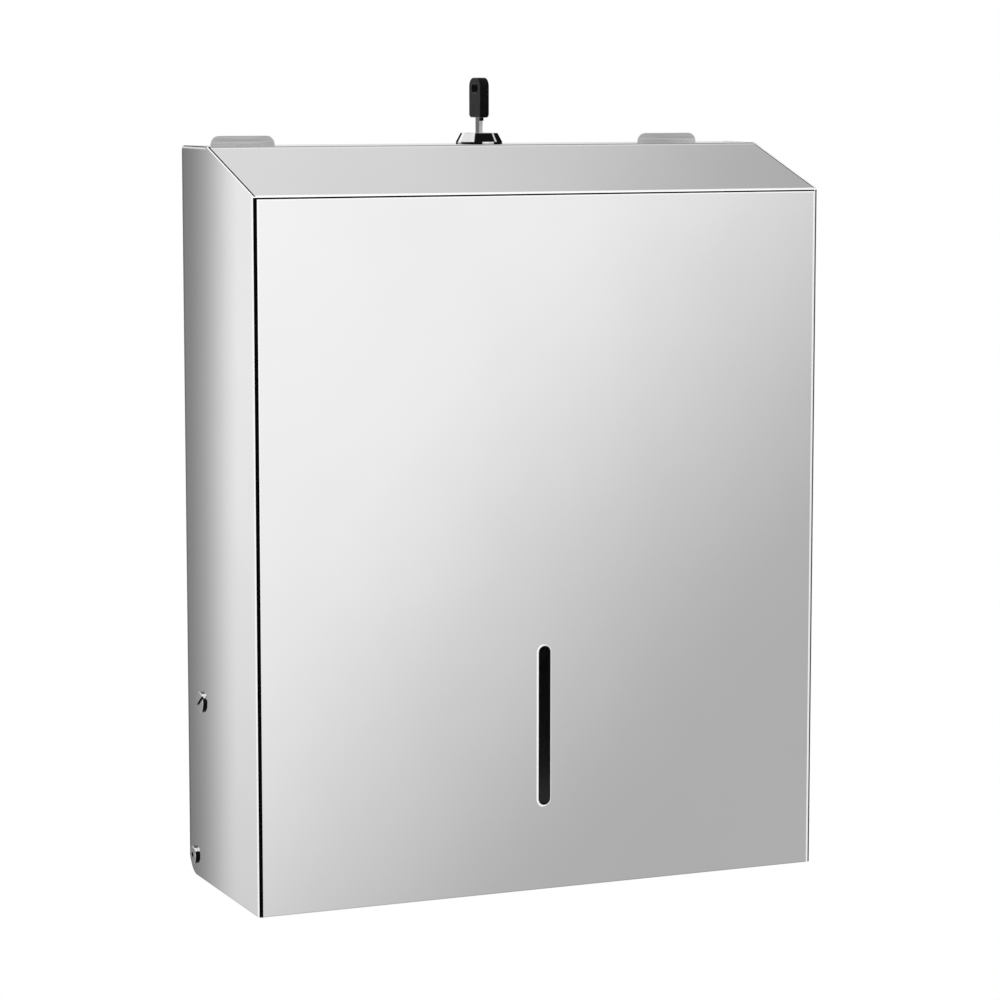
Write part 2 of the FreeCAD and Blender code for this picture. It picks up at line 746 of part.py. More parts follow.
def make_pivot(name, side):
    """Rivet through washer and bracket that the cover turns on, with a recess in its head."""
    reach = f"(side_play + cover_sheet + {COVER_INNER} - {BRACKET_INNER})"
    body = turned_piece(f"{name}_pivot_rivet", (
        ("0", f"-({reach}) - pivot_tail_thick"),
        ("pivot_tail - pivot_edge", f"-({reach}) - pivot_tail_thick"),
        ("pivot_tail", f"-({reach}) - pivot_tail_thick + pivot_edge"),
        ("pivot_tail", f"-({reach})"),
        ("pivot_shank", f"-({reach})"),
        ("pivot_shank", "0"),
        ("pivot_head", "0"),
        ("pivot_head", "pivot_head_thick - pivot_edge"),
        ("pivot_head - pivot_edge", "pivot_head_thick"),
        ("pivot_recess", "pivot_head_thick"),
        ("pivot_recess", "pivot_head_thick - pivot_recess_deep"),
        ("0", "pivot_head_thick - pivot_recess_deep"),
    ))
    seat(body, f"{side} * ({COVER_HALF} + side_play)", PIVOT_Y, "pivot_rise", facing(side))
    finish(body)
    washer = turned_piece(f"{name}_pivot_washer", (
        ("pivot_shank + running_gap", "0"),
        ("pivot_washer", "0"),
        ("pivot_washer", "washer_thick"),
        ("pivot_shank + running_gap", "washer_thick"),
    ))
    seat(washer, f"{side} * {BRACKET_OUTER}", PIVOT_Y, "pivot_rise", facing(side))
    finish(washer)


def hexagon(half):
    """A hexagon with flats at half its width across, as a path for add_loop."""
    corner = f"({half} / cos(30))"
    return tuple((f"{corner} * cos({turn})", f"{corner} * sin({turn})") for turn in range(0, 360, 60))


def make_stop(name, side):
    """Slotted screw through the cover, its nylon bush in the arc slot, and its nut."""
    inside = f"(cover_sheet + {COVER_INNER} - {BRACKET_INNER} + stop_bush_proud)"
    screw = turned_piece(f"{name}_stop_screw", (
        ("0", f"-{inside} - stop_nut_thick - stop_end"),
        ("stop_shank", f"-{inside} - stop_nut_thick - stop_end"),
        ("stop_shank", "0"),
        ("stop_head", "0"),
        ("stop_head", "stop_head_thick - stop_edge"),
        ("stop_head - stop_edge", "stop_head_thick"),
        ("0", "stop_head_thick"),
    ))
    slit = new_sketch(screw, "XY_Plane", "slit", "stop_head_thick")
    bind(slit, AttachmentOffset__Rotation__Angle=f"{side} * stop_slit_turn")
    add_loop(slit, box_path("-2 * stop_head", "-stop_slit / 2", "2 * stop_head", "stop_slit / 2"))
    cut_with(slit, "stop_slit_deep")
    seat(screw, f"{side} * {COVER_HALF}", STOP_Y, STOP_Z, facing(side))
    finish(screw)

    bush = turned_piece(f"{name}_stop_bush", (
        ("stop_shank", "cover_sheet - " + inside),
        ("stop_bush", "cover_sheet - " + inside),
        ("stop_bush", "0"),
        ("stop_shank", "0"),
    ))
    seat(bush, f"{side} * {COVER_INNER}", STOP_Y, STOP_Z, facing(side))
    finish(bush)

    nut = new_body(f"{name}_stop_nut")
    block = new_sketch(nut, "XY_Plane", "hexagon")
    add_loop(block, hexagon("stop_nut_half"))
    add_circle(block, "0", "0", "stop_shank")
    raise_from(block, "stop_nut_thick", reverse=True)
    seat(nut, f"{side} * ({COVER_HALF} - {inside})", STOP_Y, STOP_Z, facing(side))
    finish(nut)


# Lock: each piece is made about the lock's axis, with Z = 0 on the flat top's outer face


def seat_lock(item):
    """Place a lock piece on the flat top and take it as finished."""
    seat(item, "0", LOCK_Y, COVER_TOP)
    return finish(item)


def make_lock_housing():
    """Bevelled round head over a barrel with two flats, bored for the plug."""
    bore = "plug_radius + running_gap"
    seat_rise = "lock_head_tall - plug_recess - plug_head_thick"
    body = turned_piece("lock_housing", (
        (bore, "-barrel_long"),
        ("barrel_radius", "-barrel_long"),
        ("barrel_radius", "0"),
        ("lock_head", "0"),
        ("lock_head", "lock_rim"),
        ("lock_top", "lock_head_tall"),
        ("plug_head + running_gap", "lock_head_tall"),
        ("plug_head + running_gap", seat_rise),
        (bore, seat_rise),
    ))
    flats = new_sketch(body, "XY_Plane", "flats")
    far = "2 * barrel_radius"
    for side in (-1, 1):
        add_loop(flats, box_path(f"{side} * {BARREL_FLAT}", f"-{far}", f"{side} * {far}", far))
    cut_with(flats, "barrel_long")
    groove = new_sketch(body, "XY_Plane", "grooves", "-barrel_long")
    half, deep = "(wafer_wide / 2 + wafer_slack)", "(plug_radius + groove_deep)"
    add_loop(groove, box_path(f"-{half}", f"-{deep}", half, deep))
    cut_with(groove, "barrel_long - wafer_first + 2 * wafer_thick", reverse=True)
    return seat_lock(body)


def make_lock_fixings():
    """Nut and toothed washer that hold the housing under the flat top."""
    nut = new_body("lock_nut")
    block = new_sketch(nut, "XY_Plane", "hexagon", "-cover_sheet - lock_washer_thick")
    add_loop(block, hexagon("lock_nut_half"))
    add_circle(block, "0", "0", "barrel_radius")
    raise_from(block, "lock_nut_thick", reverse=True)
    seat_lock(nut)

    washer = new_body("lock_washer")
    ring = new_sketch(washer, "XY_Plane", "ring", "-cover_sheet")
    add_circle(ring, "0", "0", "lock_washer")
    add_circle(ring, "0", "0", "barrel_radius")
    raise_from(ring, "lock_washer_thick", reverse=True)
    doc.recompute()
    gap = new_sketch(washer, "XY_Plane", "gap", "-cover_sheet")
    inner, outer = "lock_washer - tooth_deep", "lock_washer + tooth_deep"
    half = "tooth_wide / 2"
    add_loop(gap, box_path(inner, f"-{half}", outer, half))
    gap_cut = cut_with(gap, "lock_washer_thick")
    doc.recompute()
    teeth = washer.newObject("PartDesign::PolarPattern", "lock_washer_teeth")
    teeth.Originals = [gap_cut]
    teeth.Axis = (gap, ["N_Axis"])
    teeth.Angle = 360
    bind(teeth, Occurrences="tooth_count")
    washer.Tip = teeth
    seat_lock(washer)


def make_lock_plug():
    """Turning core with the keyway, a slot for each wafer and a square tail for the cam."""
    seat_rise = "lock_head_tall - plug_recess - plug_head_thick"
    body = turned_piece("lock_plug", (
        ("cam_screw", f"-{CAM_FOOT}"),
        ("plug_radius", f"-{CAM_FOOT}"),
        ("plug_radius", seat_rise),
        ("plug_head", seat_rise),
        ("plug_head", "lock_head_tall - plug_recess"),
        ("0", "lock_head_tall - plug_recess"),
        ("0", f"-{CAM_FOOT} + cam_screw_long"),
        ("cam_screw", f"-{CAM_FOOT} + cam_screw_long"),
    ))
    square = new_sketch(body, "XY_Plane", "square", f"-{CAM_FOOT}")
    add_circle(square, "0", "0", "2 * plug_radius")
    add_loop(square, box_path("-tail_half", "-tail_half", "tail_half", "tail_half"))
    cut_with(square, "cam_thick + running_gap", reverse=True)
    keyway = new_sketch(body, "XY_Plane", "keyway", "lock_head_tall - plug_recess")
    half_x, half_y = "(blade_thick / 2 + blade_slack)", "(blade_wide / 2 + blade_slack)"
    add_loop(keyway, box_path(f"-{half_x}", f"-{half_y}", half_x, half_y))
    cut_with(keyway, f"lock_head_tall - plug_recess - {TIP_Z} + keyway_spare")
    room, ear = "(wafer_wide / 2 + wafer_slack)", "(wafer_ear / 2 + wafer_slack)"
    coil = "(spring_radius + spring_wire + wafer_slack)"
    for index in range(round(worth("wafer_count"))):
        middle = wafer_middle(index)
        slot = new_sketch(body, "XY_Plane", f"wafer_{index}", f"{middle} - wafer_thick / 2 - wafer_slack")
        add_loop(slot, box_path(f"-{room}", "-2 * plug_radius", room, "2 * plug_radius"))
        cut_with(slot, "wafer_thick + 2 * wafer_slack", reverse=True)
        pocket = new_sketch(body, "XY_Plane", f"spring_{index}", f"{middle} - {coil}")
        add_loop(pocket, box_path("wafer_wide / 2", f"-{ear}", f"{room} + 2 * {coil}",
                                  f"{ear} + spring_long + wafer_slack"))
        cut_with(pocket, f"2 * {coil}", reverse=True)
    return seat_lock(body)


def wafer_middle(index):
    """The height of a wafer's middle."""
    return f"(-wafer_first - {index} * {WAFER_PITCH})"


def make_wafers():
    """Flat wafers across the plug, each with a window for the blade and an ear for its spring."""
    wafers = []
    springs = []
    for index in range(round(worth("wafer_count"))):
        middle = wafer_middle(index)
        plate = doc.addObject("Part::Box", f"wafer_{index}_plate")
        bind(plate, Length="wafer_wide", Width="wafer_long", Height="wafer_thick",
             Placement__Base__x="-wafer_wide / 2", Placement__Base__y="-wafer_long / 2",
             Placement__Base__z=f"{middle} - wafer_thick / 2")
        ear = doc.addObject("Part::Box", f"wafer_{index}_ear")
        ear_long = "(2 * (spring_radius + spring_wire))"
        bind(ear, Length=f"{ear_long} + wafer_wide / 2", Width="wafer_ear", Height="wafer_thick",
             Placement__Base__y="-wafer_ear / 2", Placement__Base__z=f"{middle} - wafer_thick / 2")
        solid = doc.addObject("Part::Fuse", f"wafer_{index}_solid")
        solid.Base = plate
        solid.Tool = ear
        window = doc.addObject("Part::Box", f"wafer_{index}_window")
        bind(window, Length="blade_thick + 2 * window_slack", Width="blade_wide + 2 * window_slack",
             Height="2 * wafer_thick", Placement__Base__x="-blade_thick / 2 - window_slack",
             Placement__Base__y="-blade_wide / 2 - window_slack",
             Placement__Base__z=f"{middle} - wafer_thick")
        wafer = doc.addObject("Part::Cut", f"wafer_{index}")
        wafer.Base = solid
        wafer.Tool = window
        wafers.append(wafer)
        springs.append(make_spring(index, middle))
    for name, members in (("lock_wafers", wafers), ("wafer_springs", springs)):
        group = doc.addObject("Part::Compound", name)
        group.Links = members
        seat_lock(group)


def make_spring(index, middle):
    """Small coil spring beside a wafer, between its ear and the end of its pocket."""
    helix = doc.addObject("Part::Helix", f"spring_{index}_line")
    bind(helix, Radius="spring_radius", Height="spring_long - 2 * spring_wire",
         Pitch="(spring_long - 2 * spring_wire) / spring_turns")
    wire = doc.addObject("Part::Circle", f"spring_{index}_wire")
    bind(wire, Radius="spring_wire", Placement__Base__x="spring_radius")
    wire.Placement.Rotation = FreeCAD.Rotation(FreeCAD.Vector(1, 0, 0), 90)
    coil = doc.addObject("Part::Sweep", f"spring_{index}")
    coil.Sections = [wire]
    coil.Spine = (helix, ["Edge1"])
    coil.Solid = True
    coil.Frenet = True
    coil.Placement = FreeCAD.Placement(FreeCAD.Vector(), FreeCAD.Rotation(FreeCAD.Vector(1, 0, 0), -90))
    bind(coil, Placement__Base__x="wafer_wide / 2 + wafer_slack + spring_radius + spring_wire",
         Placement__Base__y="wafer_ear / 2 + wafer_slack + spring_wire", Placement__Base__z=middle)
    return coil


def make_cam():
    """Cam under the barrel, with its washer and screw; the arm points to the wall when unlocked."""
    cam = new_body("lock_cam")
    hub = new_sketch(cam, "XY_Plane", "hub", f"-{CAM_FOOT}")
    add_circle(hub, "0", "0", "cam_hub")
    raise_from(hub, "cam_thick")
    arm = new_sketch(cam, "XY_Plane", "arm", f"-{CAM_FOOT}")
    half = "cam_wide / 2"
    add_loop(arm, (
        (f"-{half}", "0"),
        (half, "0"),
        (half, f"{CAM_REACH} - {half}", "0", f"{CAM_REACH} - {half}", 1),
        (f"-{half}", f"{CAM_REACH} - {half}"),
    ))
    raise_from(arm, "cam_thick")
    square = new_sketch(cam, "XY_Plane", "square")
    add_loop(square, box_path("-tail_half", "-tail_half", "tail_half", "tail_half"))
    cut_with(square, both=True)
    seat_lock(cam)

    washer = new_body("cam_washer")
    ring = new_sketch(washer, "XY_Plane", "ring", f"-{CAM_FOOT}")
    add_circle(ring, "0", "0", "cam_washer")
    add_circle(ring, "0", "0", "cam_screw")
    raise_from(ring, "cam_washer_thick", reverse=True)
    seat_lock(washer)

    seat_z = f"({CAM_FOOT} + cam_washer_thick)"
    screw = turned_piece("cam_screw", (
        ("0", f"-{seat_z} - cam_screw_head_thick"),
        ("cam_screw_head - cam_screw_edge", f"-{seat_z} - cam_screw_head_thick"),
        ("cam_screw_head", f"-{seat_z} - cam_screw_head_thick + cam_screw_edge"),
        ("cam_screw_head", f"-{seat_z}"),
        ("cam_screw", f"-{seat_z}"),
        ("cam_screw", f"-{CAM_FOOT} + cam_screw_long - cam_screw_tip_gap"),
        ("0", f"-{CAM_FOOT} + cam_screw_long - cam_screw_tip_gap"),
    ))
    slit = new_sketch(screw, "XY_Plane", "slit", f"-{seat_z} - cam_screw_head_thick")
    add_loop(slit, box_path("-2 * cam_screw_head", "-cam_screw_slit / 2",
                            "2 * cam_screw_head", "cam_screw_slit / 2"))
    cut_with(slit, "cam_screw_head_thick / 2", reverse=True)
    seat_lock(screw)


# Key, standing in the lock


def make_key():
    """Flat steel blade with a notch for each wafer, and the moulded bow round its tang."""
    blade = new_body("key_blade")
    half = "(blade_wide / 2)"
    bevel_top = f"({TIP_Z} + {half} - tip_flat)"
    edge = [
        (f"-{half}", f"{BOW_FOOT} + {TANG_LONG}"),
        (f"-{half}", bevel_top),
        ("-tip_flat", TIP_Z),
        ("tip_flat", TIP_Z),
        (half, bevel_top),
    ]
    for index in reversed(range(round(worth("wafer_count")))):
        middle = wafer_middle(index)
        edge.append((half, f"{middle} - notch_wide / 2"))
        edge.append((f"{half} - notch_deep", middle))
        edge.append((half, f"{middle} + notch_wide / 2"))
    edge.append((half, f"{BOW_FOOT} + {TANG_LONG}"))
    outline = new_sketch(blade, "YZ_Plane", "outline")
    add_loop(outline, edge)
    raise_from(outline, "blade_thick", both=True)
    seat_lock(blade)

    bow = new_body("key_head")
    block = new_sketch(bow, "YZ_Plane", "block")
    side, top = "(bow_wide / 2)", f"({BOW_FOOT} + bow_tall)"
    foot_x, foot_z = f"({side} - bow_foot_bend)", f"({BOW_FOOT} + bow_foot_bend)"
    top_x, top_z = f"({side} - bow_top_bend)", f"({top} - bow_top_bend)"
    add_loop(block, (
        (f"-{foot_x}", BOW_FOOT),
        (foot_x, BOW_FOOT, foot_x, foot_z, 1),
        (side, foot_z),
        (side, top_z, top_x, top_z, 1),
        (top_x, top),
        (f"-{top_x}", top, f"-{top_x}", top_z, 1),
        (f"-{side}", top_z),
        (f"-{side}", foot_z, f"-{foot_x}", foot_z, 1),
    ))
    raise_from(block, "bow_thick", both=True)
    doc.recompute()
    solid = bow.Tip
    broad = [f"Face{index}" for index, face in enumerate(solid.Shape.Faces, start=1)
             if near(abs(face.CenterOfMass.x), worth("bow_thick / 2"))]
    softened = bow.newObject("PartDesign::Fillet", "key_head_edges")
    softened.Base = (solid, broad)
    bind(softened, Radius="bow_edge")
    ring = new_sketch(bow, "YZ_Plane", "ring")
    ring_half = "(ring_tall / 2)"
    ring_z = f"({top} - ring_drop)"
    end = f"(ring_wide / 2 - {ring_half})"
    add_loop(ring, (
        (f"-{end}", f"{ring_z} - {ring_half}"),
        (end, f"{ring_z} - {ring_half}", end, ring_z, 1),
        (end, f"{ring_z} + {ring_half}"),
        (f"-{end}", f"{ring_z} + {ring_half}", f"-{end}", ring_z, 1),
    ))
    cut_with(ring, both=True)
    tang = new_sketch(bow, "XY_Plane", "tang", BOW_FOOT)
    add_loop(tang, box_path("-blade_thick / 2", f"-{half}", "blade_thick / 2", half))
    cut_with(tang, TANG_LONG, reverse=True)
    nub = new_sketch(bow, "YZ_Plane", "nub")
    add_loop(nub, box_path(f"-{half} - nub_wide", f"{BOW_FOOT} - nub_drop",
                           f"-{half}", f"{BOW_FOOT} + nub_drop"))
    raise_from(nub, "blade_thick", both=True)
    seat_lock(bow)


make_cover_shell()
make_back_plate()
make_towel_tray()
make_latch_keeper()
for side_name, side_sign in (("left", -1), ("right", 1)):
    make_bracket(f"{side_name}_bracket", side_sign)
    make_pivot(side_name, side_sign)
    make_stop(side_name, side_sign)
make_lock_housing()
make_lock_fixings()
make_lock_plug()
make_wafers()
make_cam()
make_key()
doc.recompute()

# Nothing is written unless every object and every sub-part came out sound
for item in doc.Objects:
    if "Invalid" in item.State or "Error" in item.State:
        raise RuntimeError(f"{item.Label} failed: {item.State}")
for item in sub_parts:
    if item.Shape.isNull() or not item.Shape.isValid():
        raise RuntimeError(f"{item.Label} has no sound shape")
for item in sub_parts:
    item.Shape.exportStep(f"parts/{item.Label}.step")
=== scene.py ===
"""Looks, light and camera for a wall-mounted towel dispenser in folded steel.

Metres throughout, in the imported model's own frame: X to the right, Y into the
wall, Z up, with the wall plane at Y = 0 and the origin in the middle of the
four wall screw holes.
"""

from __future__ import annotations

import logging
import math
from dataclasses import dataclass, field, replace
from enum import Enum
from typing import ClassVar, Sequence

import bmesh
import bpy
from mathutils import Matrix, Vector


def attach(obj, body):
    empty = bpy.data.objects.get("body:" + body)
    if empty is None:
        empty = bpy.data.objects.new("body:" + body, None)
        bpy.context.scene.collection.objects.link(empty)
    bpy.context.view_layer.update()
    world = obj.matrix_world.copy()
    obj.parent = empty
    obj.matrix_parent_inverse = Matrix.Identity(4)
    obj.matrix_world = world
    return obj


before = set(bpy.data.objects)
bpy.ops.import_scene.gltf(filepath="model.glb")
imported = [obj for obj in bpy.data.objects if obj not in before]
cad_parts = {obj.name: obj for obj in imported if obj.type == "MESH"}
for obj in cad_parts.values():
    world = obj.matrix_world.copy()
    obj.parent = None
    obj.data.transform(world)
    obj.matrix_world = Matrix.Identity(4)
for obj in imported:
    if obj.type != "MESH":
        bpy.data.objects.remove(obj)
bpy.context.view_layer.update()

LOG = logging.getLogger("towel_dispenser")

Colour = tuple[float, float, float]
Point = tuple[float, float, float]
Pair = tuple[float, float]
Ring = Sequence[Point]
Node = bpy.types.Node
Socket = bpy.types.NodeSocket
Parts = tuple[Socket, Socket, Socket]

BROAD_DETAIL = 4.0
FINE_DETAIL = 2.0
FINE_SEED = 3.7
SKIN_SEED = 1.3
ROLLED_SEED = 8.1
PLAIN_SPECULAR = 0.5
MIDDLE_BLEND = 0.001
WHITE = (1.0, 1.0, 1.0, 1.0)


class Grain(Enum):
    """Which way the marks of polishing or brushing run."""

    NONE = (1.0, 1.0, 1.0)
    LEVEL = (0.02, 1.0, 1.0)
    UPRIGHT = (1.0, 1.0, 0.02)


class Body(Enum):
    """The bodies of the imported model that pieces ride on."""

    FRAME = "frame"
    COVER = "cover"


class Graph:
    """Adds and joins the nodes of one material or world."""

    def __init__(self, tree: bpy.types.NodeTree) -> None:
        """Start from an empty tree; a material's main shader is set later."""
        self.tree = tree
        self.shader: Node | None = None
        tree.nodes.clear()

    def feed(self, socket: Socket, value: object) -> None:
        """Join an output to a socket, or set the socket's value."""
        if isinstance(value, Socket):
            self.tree.links.new(value, socket)
        else:
            socket.default_value = value

    def add(self, kind: str, inputs: dict | None = None, **settings: object) -> Node:
        """Add one node.

        Args:
            kind: The node's type name without its ShaderNode prefix.
            inputs: What goes into its sockets: an output to join, or a value.
            settings: The node's own settings.

        Returns:
            The new node.
        """
        node = self.tree.nodes.new("ShaderNode" + kind)
        for name, value in settings.items():
            setattr(node, name, value)
        for name, value in (inputs or {}).items():
            self.feed(node.inputs[name], value)
        return node

    def put(self, name: str, value: object) -> None:
        """Feed the shader's named input."""
        self.feed(self.shader.inputs[name], value)

    def tone(self) -> Socket:
        """Give the colour that is joined to the shader so far."""
        return self.shader.inputs["Base Color"].links[0].from_socket

    def maths(self, operation: str, *values: object) -> Socket:
        """Add one Math node and give its result."""
        return self.add("Math", dict(enumerate(values)), operation=operation).outputs[0]

    def minus(self, value: object, other: object) -> Socket:
        """Give the first value less the second."""
        return self.maths("SUBTRACT", value, other)

    def unsigned(self, value: object) -> Socket:
        """Give a value without its sign."""
        return self.maths("ABSOLUTE", value)

    def less(self, value: object, limit: object) -> Socket:
        """Give 1 where a value is below a limit, and 0 elsewhere."""
        return self.maths("LESS_THAN", value, limit)

    def more(self, value: object, limit: object) -> Socket:
        """Give 1 where a value is above a limit, and 0 elsewhere."""
        return self.maths("GREATER_THAN", value, limit)

    def within(self, value: object, low: float, high: float) -> Socket:
        """Give 1 where a value lies between two limits, and 0 elsewhere."""
        return self.maths("COMPARE", value, (low + high) / 2, (high - low) / 2)

    def chained(self, operation: str, values: Sequence[object]) -> Socket:
        """Combine values two at a time.

        Args:
            operation: The Math node's operation.
            values: The values in order.

        Returns:
            The last result.
        """
        result = values[0]
        for value in values[1:]:
            result = self.maths(operation, result, value)
        return result

    def every(self, *values: object) -> Socket:
        """Multiply masks or shares together."""
        return self.chained("MULTIPLY", values)

    def most(self, *values: object) -> Socket:
        """Give the greatest value."""
        return self.chained("MAXIMUM", values)

    def scaled(
        self, value: object, low: float, high: float, to_low: float = 0.0, to_high: float = 1.0
    ) -> Socket:
        """Carry a value smoothly from one range to another.

        Args:
            value: The value to carry.
            low: The value that becomes to_low.
            high: The value that becomes to_high.
            to_low: The result at low.
            to_high: The result at high.

        Returns:
            The result, kept between to_low and to_high.
        """
        ranges = {"Value": value, "From Min": low, "From Max": high, "To Min": to_low, "To Max": to_high}
        return self.add("MapRange", ranges, interpolation_type="SMOOTHSTEP").outputs[0]

    def bearing(self, across: Socket, ahead: Socket) -> Socket:
        """Give the turn away from straight ahead, in degrees."""
        return self.maths("DEGREES", self.maths("ARCTAN2", across, ahead))

    def apart(self, *pairs: tuple[object, float]) -> Socket:
        """Measure how far apart two places are.

        Args:
            pairs: The two places' values along each axis.

        Returns:
            The distance.
        """
        total: object = 0.0
        for value, other in pairs:
            off = self.minus(value, other)
            total = self.maths("MULTIPLY_ADD", off, off, total)
        return self.maths("SQRT", total)

    def split(self, vector: Socket) -> Parts:
        """Give a vector's three parts."""
        parts = self.add("SeparateXYZ", {0: vector}).outputs
        return parts["X"], parts["Y"], parts["Z"]

    def coordinates(self, kind: str) -> Parts:
        """Give the Object place, the Normal or the Generated way in three parts."""
        return self.split(self.add("TexCoord").outputs[kind])

    def ramp(self, value: Socket, stops: Sequence[tuple[float, object]], ends: Pair = (0.0, 1.0)) -> Socket:
        """Turn a value into a colour through a ramp.

        Args:
            value: The value, 0 to 1.
            stops: Place and grey level, or place and colour, in order.
            ends: The stops' places that the values 0 and 1 stand for.

        Returns:
            The ramp's colour.
        """
        node = self.add("ValToRGB", {"Fac": value})
        elements = node.color_ramp.elements
        while len(elements) < len(stops):
            elements.new(1.0)
        low, high = ends
        for element, (place, tone) in zip(elements, stops):
            element.position = (place - low) / (high - low)
            element.color = (*tone, 1.0) if isinstance(tone, tuple) else (tone, tone, tone, 1.0)
        return node.outputs["Color"]

    def over(self, share: Socket, below: object, above: object) -> Socket:
        """Lay one colour over another.

        Args:
            share: How much of the upper colour shows, 0 to 1.
            below: The lower colour.
            above: The upper colour.

        Returns:
            The mixed colour.
        """
        inputs: dict = {"Factor": share}
        for index, tone in ((6, below), (7, above)):
            inputs[index] = (*tone, 1.0) if isinstance(tone, tuple) else tone
        return self.add("Mix", inputs, data_type="RGBA").outputs[2]

    def dimmed(self, tone: object, share: Socket) -> Socket:
        """Multiply a colour by a share."""
        return self.add("VectorMath", {0: tone, "Scale": share}, operation="SCALE").outputs[0]

    def noise(self, size: float, grain: Grain = Grain.NONE, detail: float = 3.0, seed: float = 0.0) -> Socket:
        """Add noise fixed to the piece.

        Args:
            size: How wide its marks are across the grain.
            grain: Which way they run.
            detail: How many finer layers it has.
            seed: Moves it to another part of the noise.

        Returns:
            The noise, about 0.5.
        """
        place = self.add("TexCoord").outputs["Object"]
        run = self.add("Mapping", {"Vector": place, "Scale": grain.value, "Location": (seed, seed, seed)})
        marks = self.add("TexNoise", {"Vector": run.outputs[0], "Scale": 1.0 / size, "Detail": detail})
        return marks.outputs["Fac"]

    def relief(self, height: Socket, strength: object, depth: float) -> Socket:
        """Turn marks into slight bumps."""
        return self.add("Bump", {"Height": height, "Strength": strength, "Distance": depth}).outputs[0]

    def seen(self) -> Socket:
        """Give 1 for what the picture shows directly, and 0 for light and reflections."""
        path = self.add("LightPath").outputs
        return self.most(path["Is Camera Ray"], path["Is Transmission Ray"])


def new_material(name: str) -> tuple[bpy.types.Material, Graph]:
    """Make a material with an empty node tree.

    Args:
        name: The material's name.

    Returns:
        The material and its node tree.
    """
    material = bpy.data.materials.new(name)
    material.use_nodes = True
    return material, Graph(material.node_tree)


def new_object(name: str, data: bpy.types.ID) -> bpy.types.Object:
    """Put a new object in the scene.

    Args:
        name: The object's name.
        data: Its mesh, camera or light.

    Returns:
        The object.
    """
    thing = bpy.data.objects.new(name, data)
    bpy.context.scene.collection.objects.link(thing)
    return thing


def finished(name: str, shape: bmesh.types.BMesh) -> bpy.types.Mesh:
    """Turn an edited shape into a mesh.

    Args:
        name: The mesh's name.
        shape: The shape, which is freed.

    Returns:
        The mesh.
    """
    mesh = bpy.data.meshes.new(name)
    shape.to_mesh(mesh)
    shape.free()
    return mesh


@dataclass(frozen=True)
class Finish:
    """A procedural surface that is made once and shared by its pieces."""

    name: str
    made: ClassVar[dict[str, bpy.types.Material]] = {}

    def material(self) -> bpy.types.Material:
        """Give the material, made when first asked for."""
        if self.name not in self.made:
            material, graph = new_material(self.name)
            graph.shader = graph.add("BsdfPrincipled")
            graph.add("OutputMaterial", {"Surface": graph.shader.outputs[0]})
            self.paint(graph)
            self.made[self.name] = material
        return self.made[self.name]

    def paint(self, graph: Graph) -> None:
        """Join the finish's colour, roughness and relief to the shader.

        Args:
            graph: The material's nodes.
        """
        raise NotImplementedError


@dataclass(frozen=True)
class Metal(Finish):
    """Bare or plated metal with fine marks, light smudges and a slight tint."""

    light: Colour = (0.9, 0.9, 0.9)
    dull: Colour = (0.85, 0.85, 0.85)
    smooth: float = 0.08
    rough: float = 0.12
    smudge: float = 0.03
    grain: Grain = Grain.NONE
    mark: float = 0.0003
    lift: float = 0.02
    depth: float = 0.00001
    bare: float = 1.0
    marked: float = 0.35
    dull_end: float = 0.32
    light_end: float = 0.62
    haze_ends: Pair = (0.3, 0.7)

    def paint(self, graph: Graph) -> None:
        """Join broad smudges and fine marks to the shader.

        Args:
            graph: The material's nodes.
        """
        broad = graph.noise(self.smudge, detail=BROAD_DETAIL)
        fine = graph.noise(self.mark, self.grain, FINE_DETAIL, FINE_SEED)
        haze = graph.maths("ADD", graph.every(broad, 1 - self.marked), graph.every(fine, self.marked))
        graph.put("Metallic", self.bare)
        tone = graph.ramp(haze, ((self.dull_end, self.dull), (self.light_end, self.light)))
        graph.put("Base Color", tone)
        graph.put("Roughness", graph.scaled(haze, *self.haze_ends, self.rough, self.smooth))
        graph.put("Normal", graph.relief(fine, self.lift, self.depth))


@dataclass(frozen=True)
class Moulded(Finish):
    """Moulded plastic with a fine matt skin and faint handling shine."""

    light: Colour = (0.03, 0.03, 0.032)
    dull: Colour = (0.02, 0.02, 0.022)
    smooth: float = 0.3
    rough: float = 0.45
    skin: float = 0.00025
    patch: float = 0.004
    lift: float = 0.15
    depth: float = 0.00003
    bend: float = 1.5
    worn_ends: Pair = (0.35, 0.65)

    def paint(self, graph: Graph) -> None:
        """Join the skin's fine pits and the worn, shinier patches.

        Args:
            graph: The material's nodes.
        """
        broad = graph.noise(self.patch)
        fine = graph.noise(self.skin, detail=FINE_DETAIL, seed=SKIN_SEED)
        graph.put("Specular IOR Level", PLAIN_SPECULAR)
        graph.put("IOR", self.bend)
        tones = tuple(zip(self.worn_ends, (self.dull, self.light)))
        graph.put("Base Color", graph.ramp(broad, tones))
        graph.put("Roughness", graph.scaled(broad, *self.worn_ends, self.rough, self.smooth))
        graph.put("Normal", graph.relief(fine, self.lift, self.depth))


